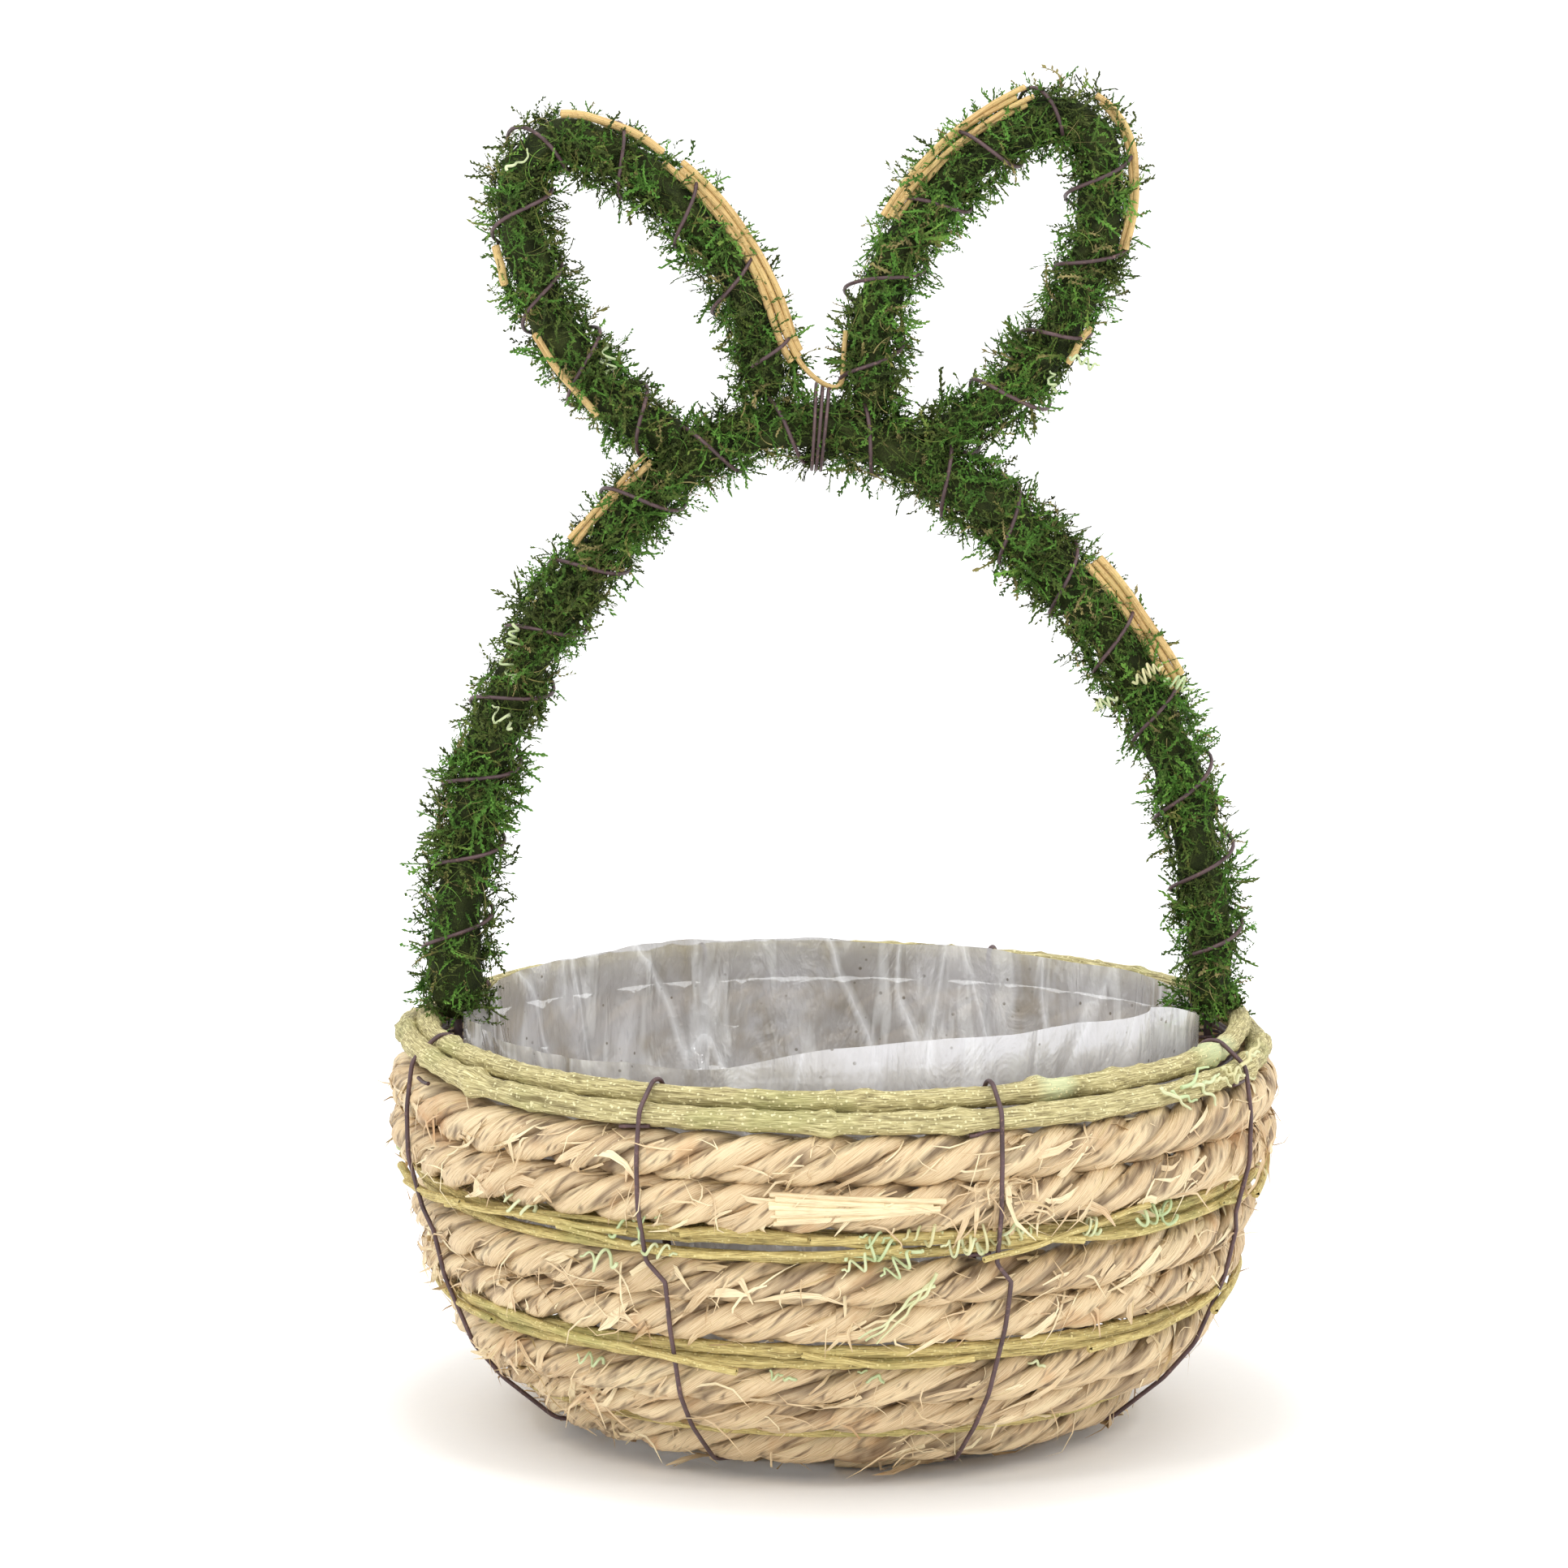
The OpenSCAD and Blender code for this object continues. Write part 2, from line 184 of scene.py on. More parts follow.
    def build(self, name, material, smooth=True):
        """The heap as one mesh object in the scene."""
        points, faces = np.concatenate(self.points), np.concatenate(self.faces)
        mesh = bpy.data.meshes.new(name)
        mesh.vertices.add(len(points))
        mesh.vertices.foreach_set("co", points.astype(np.float32).ravel())
        mesh.loops.add(faces.size)
        mesh.loops.foreach_set("vertex_index", faces.astype(np.int32).ravel())
        mesh.polygons.add(len(faces))
        mesh.polygons.foreach_set("loop_start", np.arange(0, faces.size, 4, dtype=np.int32))
        mesh.polygons.foreach_set("use_smooth", np.full(len(faces), smooth))
        mesh.update(calc_edges=True)
        fibre = np.concatenate(self.fibre).astype(np.float32).ravel()
        mesh.uv_layers.new(name="fibre").data.foreach_set("uv", fibre)
        for label, values in (("tint", self.tint), ("shade_relief", self.shade_relief)):
            layer = mesh.attributes.new(label, "FLOAT", "POINT")
            layer.data.foreach_set("value", np.concatenate(values).astype(np.float32))
        mesh.validate()
        mesh.materials.append(material)
        made = bpy.data.objects.new(name, mesh)
        bpy.context.scene.collection.objects.link(made)
        return made

    def piece(self, name, material, replaces=(), smooth=True):
        """The heap as one object that moves with the basket."""
        made = self.build(name, material, smooth)
        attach(made, BODY)
        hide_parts(*replaces)
        return made


def carried_sides(ways, closed):
    """One side direction for each step of a path, turned as little as possible from step to step."""
    side = np.cross(ways[0], [0.3, 0.2, 1.0])
    side /= np.linalg.norm(side)
    found = [side]
    for way in ways[1:]:
        side = side - way * side.dot(way)
        side = side / np.linalg.norm(side)
        found.append(side)
    found = np.array(found)
    if closed:  # spread what is left over evenly, so that the ends meet
        last = found[-1] - ways[0] * found[-1].dot(ways[0])
        left_over = math.atan2(np.cross(last, found[0]).dot(ways[0]), last.dot(found[0]))
        turn = np.linspace(0, left_over, len(ways))[:, None]
        found = found * np.cos(turn) + np.cross(ways, found) * np.sin(turn)
    return found


# ---- materials ----


class Shader:
    """A material whose nodes are added by short calls."""

    def __init__(self, name, **constants):
        self.material = bpy.data.materials.new(name)
        self.material.use_nodes = True
        self.tree = self.material.node_tree
        self.surface = self.tree.nodes["Principled BSDF"]
        for socket, value in constants.items():
            self.surface.inputs[socket.replace("_", " ")].default_value = value

    def node(self, kind, inputs=(), **settings):
        made = self.tree.nodes.new("ShaderNode" + kind)
        for key, value in settings.items():
            setattr(made, key, value)
        for key, value in dict(inputs).items():
            self.feed(made.inputs[key], value)
        return made

    def feed(self, socket, value):
        if isinstance(value, bpy.types.NodeSocket):
            self.tree.links.new(value, socket)
        else:
            socket.default_value = value

    def place(self, scale, layer=None):
        """The fibre map, or the place in metres, scaled to a pattern's size."""
        if layer:
            source = self.node("UVMap", uv_map=layer).outputs["UV"]
        else:
            source = self.node("TexCoord").outputs["Object"]
        return self.node("VectorMath", {0: source, 1: scale}, operation="MULTIPLY").outputs[0]

    def noise(self, scale, layer=None, detail=3.0, rough=0.6, twist=0.0):
        inputs = {"Vector": self.place(scale, layer), "Scale": 1.0, "Detail": detail, "Roughness": rough}
        inputs["Distortion"] = twist
        return self.node("TexNoise", inputs).outputs["Fac"]

    def specks(self, per_metre, size):
        """Round dots: 1 inside a dot of this share of its cell, 0 outside."""
        cells = self.node("TexVoronoi", {"Vector": self.place((per_metre,) * 3), "Scale": 1.0})
        return self.clip(cells.outputs["Distance"], size, size * 0.6)

    def layer(self, name):
        return self.node("Attribute", attribute_name=name).outputs["Fac"]

    def clip(self, value, low, high, to_low=0.0, to_high=1.0):
        keys = ("Value", "From Min", "From Max", "To Min", "To Max")
        values = dict(zip(keys, (value, low, high, to_low, to_high)))
        return self.node("MapRange", values, clamp=True).outputs[0]

    def maths(self, operation, a, b=0.0):
        return self.node("Math", {0: a, 1: b}, operation=operation).outputs[0]

    def ramp(self, value, *stops):
        """stops are (place, colour)."""
        ramp = self.node("ValToRGB", {"Fac": value})
        line = ramp.color_ramp.elements
        while len(line) < len(stops):
            line.new(0.5)
        for element, (place, colour) in zip(line, stops):
            element.position = place
            element.color = (*colour, 1)
        return ramp.outputs["Color"]

    def mix(self, share, a, b, blend="MIX"):
        mixed = self.node("Mix", data_type="RGBA", blend_type=blend)
        for socket, value in ((mixed.inputs[0], share), (mixed.inputs[6], a), (mixed.inputs[7], b)):
            if isinstance(value, tuple):
                value = (*value, 1)
            self.feed(socket, value)
        return mixed.outputs[2]

    def finish(self, colour, roughness=None, height=None, depth=0.3 * MM):
        self.feed(self.surface.inputs["Base Color"], colour)
        if roughness is not None:
            self.feed(self.surface.inputs["Roughness"], roughness)
        if height is not None:
            inputs = {"Height": height, "Distance": depth, "Strength": 1.0}
            self.feed(self.surface.inputs["Normal"], self.node("Bump", inputs).outputs[0])
        return self.material


def rgb(red, green, blue):
    """A colour as seen on a screen, 0 to 255, as the linear numbers that a shader takes."""
    return tuple(
        (c / 255 / 12.92) if c <= 10 else ((c / 255 + 0.055) / 1.055) ** 2.4 for c in (red, green, blue)
    )


def straw_material():
    """Twisted rush leaves: long fibres in tans, with browner leaves, and painted shade in the creases."""
    s = Shader("straw", Specular_IOR_Level=0.5)
    fine = s.noise((120, 3800, 1), "fibre", 3, 0.65)
    broad = s.noise((35, 700, 1), "fibre", 2, 0.5, 0.3)
    blotch = s.noise((45, 45, 45), None, 3)
    leaf = s.ramp(
        s.layer("tint"),
        (0.0, rgb(158, 118, 76)),
        (0.3, rgb(192, 158, 114)),
        (0.6, rgb(220, 190, 146)),
        (1.0, rgb(244, 228, 186)),
    )
    streaked = s.mix(s.clip(fine, 0.35, 0.7, 0.0, 0.6), leaf, rgb(244, 230, 194))
    streaked = s.mix(s.clip(fine, 0.5, 0.3, 0.0, 0.6), streaked, rgb(136, 102, 66))
    browned = s.mix(s.clip(blotch, 0.56, 0.72, 0.0, 0.55), streaked, rgb(190, 132, 72))
    greened = s.mix(s.clip(broad, 0.62, 0.8, 0.0, 0.3), browned, rgb(205, 196, 120))
    # Painted shade: darker brown where the rope's surface lies low, in the creases and between the strands.
    crease_shaded = s.mix(s.clip(s.layer("shade_relief"), 0.45, 0.0, 0.0, 0.95), greened, rgb(84, 58, 36))
    height = s.maths("ADD", s.maths("MULTIPLY", broad, 0.5), s.maths("MULTIPLY", fine, 0.35))
    return s.finish(crease_shaded, s.clip(fine, 0.2, 0.8, 0.4, 0.65), height, 0.5 * MM)


def bark_material(name, base, groove, speck, greenness):
    """Vine bark: long grooves, pale raised specks and patches of green."""
    s = Shader(name, Specular_IOR_Level=0.3)
    fine = s.noise((180, 2300, 1), "fibre", 4, 0.65, 0.2)
    broad = s.noise((50, 500, 1), "fibre", 3)
    patch = s.noise((32, 32, 32), None, 2)
    dots = s.specks(620, 0.33)
    colour = s.ramp(fine, (0.3, groove), (0.5, base), (0.68, speck))
    colour = s.mix(s.clip(broad, 0.5, 0.7, 0.0, 0.4), colour, groove)
    colour = s.mix(s.clip(patch, 0.52, 0.66, 0.0, greenness), colour, rgb(146, 154, 88))
    colour = s.mix(s.clip(s.layer("tint"), 0.7, 0.95, 0.0, 0.6), colour, rgb(212, 224, 178))
    # Painted shade: dark brown in the low grooves of the vine's surface.
    colour = s.mix(s.clip(s.layer("shade_relief"), 0.3, 0.0, 0.0, 0.8), colour, rgb(92, 78, 40))
    colour = s.mix(s.maths("MULTIPLY", dots, s.clip(fine, 0.35, 0.5)), colour, speck)
    height = s.maths("ADD", s.maths("MULTIPLY", fine, 0.8), s.maths("MULTIPLY", dots, 0.5))
    return s.finish(colour, s.clip(fine, 0.2, 0.8, 0.6, 0.85), height, 0.45 * MM)


def stem_material(name, pale, dark):
    """A dry ridged stem, with fine pits."""
    s = Shader(name, Specular_IOR_Level=0.4)
    ridge = s.noise((60, 2600, 1), "fibre", 3)
    pits = s.noise((900, 900, 900), None, 3)
    blotch = s.noise((90, 90, 90), None, 2)
    colour = s.ramp(ridge, (0.3, dark), (0.55, pale))
    colour = s.mix(s.clip(pits, 0.55, 0.72, 0.0, 0.6), colour, rgb(140, 104, 58))
    colour = s.mix(s.clip(blotch, 0.5, 0.75, 0.0, 0.4), colour, rgb(206, 190, 120))
    return s.finish(colour, s.clip(pits, 0.3, 0.7, 0.45, 0.7), s.maths("ADD", ridge, pits), 0.3 * MM)


def wire_material(name, colour, edge):
    """Wire with a worn brown coat."""
    s = Shader(name, Specular_IOR_Level=0.5, Metallic=0.15)
    worn = s.noise((700, 700, 700), None, 4)
    stain = s.noise((120, 120, 120), None, 2)
    shade = s.mix(s.clip(stain, 0.4, 0.65), colour, tuple(c * 0.6 for c in colour))
    shade = s.mix(s.clip(worn, 0.58, 0.75, 0.0, 0.7), shade, edge)
    return s.finish(shade, s.clip(worn, 0.3, 0.7, 0.35, 0.6), worn, 0.1 * MM)


def moss_material():
    """Dried moss: each frond has its own green, olive or brown, with painted shade darker towards its base.
    """
    s = Shader("moss", Roughness=0.8, Specular_IOR_Level=0.2)
    patch = s.noise((70, 70, 70), None, 3)
    grain = s.noise((2600, 2600, 2600), None, 2)
    pick = s.maths("ADD", s.layer("tint"), s.clip(patch, 0.3, 0.7, -0.16, 0.16))
    leaf = s.ramp(
        pick,
        (0.0, rgb(32, 42, 14)),
        (0.18, rgb(74, 80, 34)),
        (0.4, rgb(62, 96, 32)),
        (0.62, rgb(74, 126, 44)),
        (0.78, rgb(108, 156, 62)),
        (0.92, rgb(112, 104, 56)),
        (1.0, rgb(152, 134, 92)),
    )
    leaf = s.mix(s.clip(grain, 0.4, 0.75, 0.0, 0.4), leaf, rgb(146, 174, 92))
    # Painted shade: near black-green low down on each frond and on the core, deep in the moss.
    deep_shaded = s.mix(s.clip(s.layer("shade_relief"), 0.6, 0.0, 0.0, 0.9), leaf, rgb(20, 26, 8))
    return s.finish(deep_shaded, s.clip(grain, 0.3, 0.7, 0.7, 0.9), grain, 0.2 * MM)


def film_material():
    """Clear grey plastic film, dusty, with fine wrinkles and painted highlights along its pleats and creases.
    """
    s = Shader("liner_film", Specular_IOR_Level=0.9, IOR=1.5, Alpha=0.8, Coat_Weight=0.8, Coat_Roughness=0.08)
    cloud = s.noise((26, 26, 26), None, 4)
    wrinkle = s.noise((70, 70, 34), None, 4, 0.6, 0.8)
    fine = s.noise((420, 420, 240), None, 3)
    pleat = s.noise((95, 95, 12), None, 3, 0.6, 0.5)
    crease = s.maths("ABSOLUTE", s.maths("SUBTRACT", s.noise((30, 30, 9), None, 1, 0.5, 0.4), 0.5))
    dirt = s.specks(240, 0.16)
    sparse = s.clip(s.noise((60, 60, 60), None, 2), 0.5, 0.58)
    colour = s.ramp(cloud, (0.3, rgb(166, 160, 152)), (0.7, rgb(218, 216, 217)))
    behind = s.noise((55, 55, 30), None, 3, 0.6, 0.6)
    colour = s.mix(s.clip(behind, 0.48, 0.64, 0.0, 0.7), colour, rgb(152, 140, 116))
    # Painted highlights: near-white streaks along the pleats and the sharp creases.
    colour = s.mix(s.clip(pleat, 0.56, 0.64, 0.0, 0.65), colour, rgb(246, 246, 244))
    colour = s.mix(s.clip(crease, 0.025, 0.0, 0.0, 0.8), colour, rgb(250, 250, 250))
    colour = s.mix(s.clip(s.layer("tint"), 0.0, 1.0, 0.0, 0.85), colour, rgb(222, 222, 228))
    colour = s.mix(s.maths("MULTIPLY", dirt, s.maths("MULTIPLY", sparse, 0.8)), colour, rgb(98, 88, 70))
    height = s.maths("ADD", s.maths("MULTIPLY", wrinkle, 0.7), s.maths("MULTIPLY", fine, 0.1))
    height = s.maths("ADD", height, s.maths("MULTIPLY", pleat, 0.9))
    height = s.maths("ADD", height, s.clip(crease, 0.0, 0.05, 0.0, 0.3))
    return s.finish(colour, s.clip(cloud, 0.3, 0.7, 0.09, 0.22), height, 3.2 * MM)


def tendril_material():
    """Pale mint tendrils and peeled fibres, greener here and there."""
    s = Shader("tendril", Specular_IOR_Level=0.3)
    streak = s.noise((90, 2500, 1), "fibre", 3)
    patch = s.noise((130, 130, 130), None, 2)
    stops = (0.0, rgb(214, 206, 158)), (0.5, rgb(222, 226, 184)), (1.0, rgb(190, 208, 158))
    shade = s.ramp(s.layer("tint"), *stops)
    shade = s.mix(s.clip(streak, 0.5, 0.3, 0.0, 0.5), shade, rgb(140, 150, 90))
    shade = s.mix(s.clip(patch, 0.5, 0.7, 0.0, 0.5), shade, rgb(168, 188, 130))
    return s.finish(shade, s.clip(streak, 0.2, 0.8, 0.5, 0.75), streak, 0.25 * MM)


straw = straw_material()
rim_bark = bark_material("rim_bark", rgb(186, 174, 124), rgb(100, 86, 54), rgb(240, 230, 178), 0.3)
band_bark = bark_material("band_bark", rgb(200, 180, 116), rgb(122, 102, 58), rgb(232, 216, 152), 0.35)
dry_stem = stem_material("dry_stem", rgb(220, 188, 126), rgb(170, 132, 78))
frame_steel = wire_material("frame_wire", rgb(84, 66, 70), rgb(140, 112, 104))
tie_steel = wire_material("tie_wire", rgb(92, 70, 72), rgb(156, 122, 110))
moss = moss_material()
film = film_material()
tendril = tendril_material()


# ---- the bowl, from the CAD rings ----


def ring_of(node):
    """The ring radius, height and section radius of a CAD ring around the Z axis."""
    low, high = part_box(node)
    section = (high.z - low.z) / 2
    return (high.x - low.x) / 2 - section, (high.z + low.z) / 2, section


def around(radius, height, turn):
    """Points at these turns from the front, going right, at this radius and height."""
    turn, radius, height = np.broadcast_arrays(turn, radius, height)
    return np.stack([radius * np.sin(turn), -radius * np.cos(turn), height], axis=-1)


def outward(turn):
    """The level direction away from the Z axis."""
    return around(1.0, 0.0, turn)


ROPES = [ring_of(f"straw_rope_{i}") for i in range(1, 8)]
RIM_UPPER, RIM_LOWER = ring_of("rim_vine_upper"), ring_of("rim_vine_lower")
UP = np.array([0.0, 0.0, 1.0])


def twist(heap, seed, turn, radius, height, section, lay, row_step, sides, closed=True):
    """Three strands of rush laid into a rope. turn, radius and height are its middle line."""
    rng = dice(seed)
    run = np.concatenate([[0], np.cumsum(np.abs(np.diff(turn)) * (radius[1:] + radius[:-1]) / 2)])
    share = run / (run[-1] + row_step)
    laid = TURN * run / lay
    if closed:
        laid = TURN * share * round((run[-1] + row_step) / lay)
    around_section = np.linspace(0, 1, sides + 1)
    angle = TURN * around_section[None, :sides]
    for strand in range(3):
        phase = laid + strand * TURN / 3 + wave(rng, TURN * share, 3, 14, 0.3)
        thick = 1 + wave(rng, TURN * share, 8, 30, 0.16)
        outer = np.cos(phase)[:, None] * outward(turn) + np.sin(phase)[:, None] * UP
        beside = -np.sin(phase)[:, None] * outward(turn) + np.cos(phase)[:, None] * UP
        middle = around(radius, height, turn) + outer * section * 0.52
        cells = max(8, round(run[-1] / (26 * MM)))
        drift = around_section[None, :sides] + share[:, None] * round(run[-1] / (150 * MM))
        coarse = folds(rng, share[:, None], drift, cells, 7)
        fine = folds(rng, share[:, None], drift, cells * 2, 17)
        reach = 1 + 0.22 * (coarse - 0.5) + 0.14 * (fine - 0.5)
        high = np.cos(angle) * section * 0.56 * thick[:, None] * reach
        wide = np.sin(angle) * section * 0.62 * thick[:, None] * reach
        points = middle[:, None] + outer[:, None] * high[:, :, None] + beside[:, None] * wide[:, :, None]
        tint = 0.2 + 0.6 * patches(rng, share[:, None], drift, max(6, cells // 2), 5)
        from_middle = 0.5 + 0.5 * np.cos(angle)
        # Painted shade: this is low in the folds and on the inner sides of the strands, where they press
        # together, and the straw material paints those places darker.
        shade_relief = np.minimum(coarse * 1.3, np.minimum(fine * 2.2, 1)) * (0.35 + 0.65 * from_middle)
        along = np.append(run, run[-1] + row_step) + strand * 0.31
        heap.grid(points, along, around_section * TURN * section * 0.66, tint, shade_relief, (closed, True))


def shavings(heap, rng, ring, count, length, width, lift, slope, spread, low=-1.9, high=1.9, near=None):
    """Loose strips that follow a rope's surface and stand off it at one end, all around or near one turn.
    length, width and lift are ranges in millimetres."""
    radius, height, section = ring
    length, width, lift = ([value * MM for value in span] for span in (length, width, lift))
    steps = 5
    s = np.linspace(0, 1, steps)[None, :]
    way = rng.choice([-1, 1], (count, 1)) * 1.0
    lean = slope + rng.normal(0, spread, (count, 1))
    reach = rng.uniform(*length, (count, 1)) * s
    bend = rng.normal(0, 0.5, (count, 1)) * s**2
    start = rng.uniform(0, TURN, (count, 1)) if near is None else rng.normal(near, 0.05, (count, 1))
    turn = start + way * reach * np.cos(lean + bend) / radius
    tilt = rng.uniform(low, high, (count, 1)) + way * reach * np.sin(lean + bend) / section
    away = section * 1.02 + rng.uniform(*lift, (count, 1)) * s**2
    out = outward(turn) * np.cos(tilt)[:, :, None] + UP * np.sin(tilt)[:, :, None]
    droop = -UP * (rng.uniform(0, 0.35, (count, 1)) * reach * s)[:, :, None]
    middles = around(radius, height, turn) + out * away[:, :, None] + droop
    middles[:, :, 2] = np.maximum(middles[:, :, 2], 1.2 * MM)
    ways = np.gradient(middles, axis=1)
    across = np.cross(ways, out)
    across /= np.linalg.norm(across, axis=2, keepdims=True) + 1e-12
    roll = rng.normal(0, 0.7, (count, 1)) * s
    across = across * np.cos(roll)[:, :, None] + out * np.sin(roll)[:, :, None]
    taper = np.sin(np.pi * (0.12 + 0.86 * s)) ** 0.7
    sides = across * (rng.uniform(*width, (count, 1)) / 2 * taper)[:, :, None]
    room = middles[:, :, 2] - 0.2 * MM
    sides[:, :, 2] = np.clip(sides[:, :, 2], -room, room)
    heap.ribbons(middles, sides, rng.uniform(0.25, 1.0, count))


# The loose strips of a rope: how many, the ranges of length, width and lift, then the slope and its spread
LOOSE_STRIPS = (
    (150, (8, 26), (0.9, 3.2), (0, 1.0), 0.55, 0.2),
    (230, (5, 20), (0.3, 0.9), (0, 4), 0.55, 0.45),
    (90, (7, 20), (0.3, 0.8), (2, 6), 0.2, 0.8),
)
# Where a rope's end shows as a frayed tuft: turns from the front for each rope
FRAYED = {2: (1.25, 0.36), 4: (-1.25,), 5: (-1.0,), 6: (-0.75,)}


def straw_rope(index):
    """One course: its three strands, wide leaves wound over them, and frayed ends."""
    ring = ROPES[index - 1]
    radius, height, section = ring
    rng = dice(100 + index)
    row_step = 2.1 * MM
    turn = np.arange(0, TURN, row_step / radius)
    middle_r = radius + wave(rng, turn, 2, 9, 0.5 * MM)
    middle_z = height + wave(rng, turn, 2, 9, 0.5 * MM)
    heap = Heap()
    lay = 52 * MM if index < 5 else 60 * MM
    twist(heap, 10 * index, turn, middle_r, middle_z, section * 1.05, lay, row_step, 20)
    share = radius / ROPES[0][0] * (1.0 if index < 5 else 0.55)
    for count, *ranges in LOOSE_STRIPS:
        shavings(heap, rng, ring, int(count * share), *ranges)
    for turn in FRAYED.get(index, ()):
        shavings(heap, rng, ring, 34, (8, 18), (0.6, 2.4), (1, 6), 0.9, 0.7, near=turn)
    if index == 2:
        cut_straw(heap, rng, ring)
    return heap.piece(f"straw_rope_{index}_twist", straw, [f"straw_rope_{index}"])


def cut_straw(heap, rng, ring):
    """A pale bundle of straws at the front: cut off square on the left, and drawn together on the right."""
    radius, height, section = ring
    for k in range(16):
        first, last = rng.uniform(-18, -15) * MM, rng.uniform(12, 30) * MM
        t = np.linspace(0, 1, 16)
        x = first + (last - first) * t
        level = (k % 8 - 3.5) / 3.5 * section * 0.62 * (1 - 0.6 * t)
        z = height + 0.6 * MM + level + wave(rng, t * 3, 1, 3, 0.25 * MM)
        layer = (0.4 - 1.1 * (k // 8)) * MM
        reach = radius + np.sqrt(section**2 - level**2) + layer + rng.uniform(-0.3, 0.3) * MM
        heap.tube(around(reach, z, x / radius), rng.uniform(0.65, 1.0) * MM, 8, rng.uniform(0.7, 1.0))


def base_coil():
    """The rope of the base, wound inwards in one spiral."""
    low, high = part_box("base_coil")
    section = high.z / 2 - low.z / 2
    outer_r = high.x - section
    pitch = 12.5 * MM
    turns = (outer_r - pitch * 0.55) / pitch
    turn = np.arange(0, TURN * turns, 0.055)
    radius = outer_r - pitch * turn / TURN
    height = np.full_like(turn, low.z + section + 0.7 * MM)
    heap = Heap()
    twist(heap, 7, turn, radius, height, section * 0.93, 60 * MM, 3 * MM, 14, closed=False)
    rng = dice(8)
    ring = (outer_r, low.z + section, section)
    shavings(heap, rng, ring, 70, (6, 16), (0.6, 2.0), (0, 1), 0.3, 0.3, -0.3, 1.4)
    return heap.piece("base_coil_twist", straw, ["base_coil"])


def vine(node, material, slot, seed, sway, knots, sides=16, lift=None, peeled=(), slim=1.0):
    """A vine around the bowl: grooved bark, a slow sway and swollen knots. lift(turn) is added to its height,
    and peeled has the middle and width of each bare stretch, as shares of the way around."""
    radius, height, section = ring_of(node)
    section = section * slim
    rng = dice(seed)
    turn = np.arange(0, TURN, 2.2 * MM / radius)
    share = turn / TURN
    path_r = radius + wave(rng, turn, 2, 7, sway)
    path_z = height + wave(rng, turn, 2, 7, sway) + (0 if lift is None else lift(turn))
    thick = section * (1 + wave(rng, turn, 5, 40, 0.07))
    for place in rng.uniform(0, 1, knots):
        thick = thick + bump(share, place, 0.004) * rng.uniform(0.7, 1.7) * MM * section / (4 * MM)
    tint = np.full((len(turn), 1), 0.4)
    for middle, width in peeled:
        tint = tint + 0.6 * bump(share[:, None], middle, width)

    def rough(along, turned):
        grooves = folds(rng, along, turned + along * 2, max(24, round(TURN * radius / (30 * MM))), 11)
        warts = patches(rng, along, turned, round(TURN * radius / (2.6 * MM)), 9) ** 4
        # Painted shade: the second number is low in the grooves, where the bark material paints them dark.
        return section * (0.24 * (grooves - 0.6) + 0.3 * warts), grooves * 1.3

    heap = Heap()
    heap.tube(around(path_r, path_z, turn), thick, sides, tint, True, rough)
    return heap.piece(f"{node}_bark", material, [node])


# How thick the finished rim vines are, as a share of the CAD rings
RIM_SLIM = 0.76


def left_sweep(turn):
    """The lower rim vine climbs towards the left foot of the handle."""
    return 5 * MM * bump((turn - TURN * 0.75 + math.pi) % TURN - math.pi, 0.15, 0.42) - 0.4 * MM


def upper_dip(turn):
    """The upper rim vine lies a little low, close to the film, and lowest at the front."""
    return -1.2 * MM - 0.5 * MM * np.cos(turn)


def rim_and_bands():
    """The two rim vines, the two bands of thin stems and the stem beside the last rope."""
    peeled = ((0.085, 0.012), (0.18, 0.025))
    rim = {"material": rim_bark, "slot": "vine_bark", "slim": RIM_SLIM}
    vine("rim_vine_upper", seed=21, sway=0.7 * MM, knots=13, lift=upper_dip, peeled=peeled, **rim)
    vine("rim_vine_lower", seed=22, sway=0.6 * MM, knots=14, lift=left_sweep, **rim)
    band = {"material": band_bark, "slot": "green_stem", "sides": 10, "slim": 0.72}
    for i in (1, 2, 3):
        vine(f"vine_band_a_{i}", seed=30 + i, sway=2.2 * MM, knots=9, **band)
    for i in (1, 2):
        vine(f"vine_band_b_{i}", seed=40 + i, sway=1.6 * MM, knots=8, **band)
    vine("vine_base_stem", seed=47, sway=0.8 * MM, knots=6, **band)


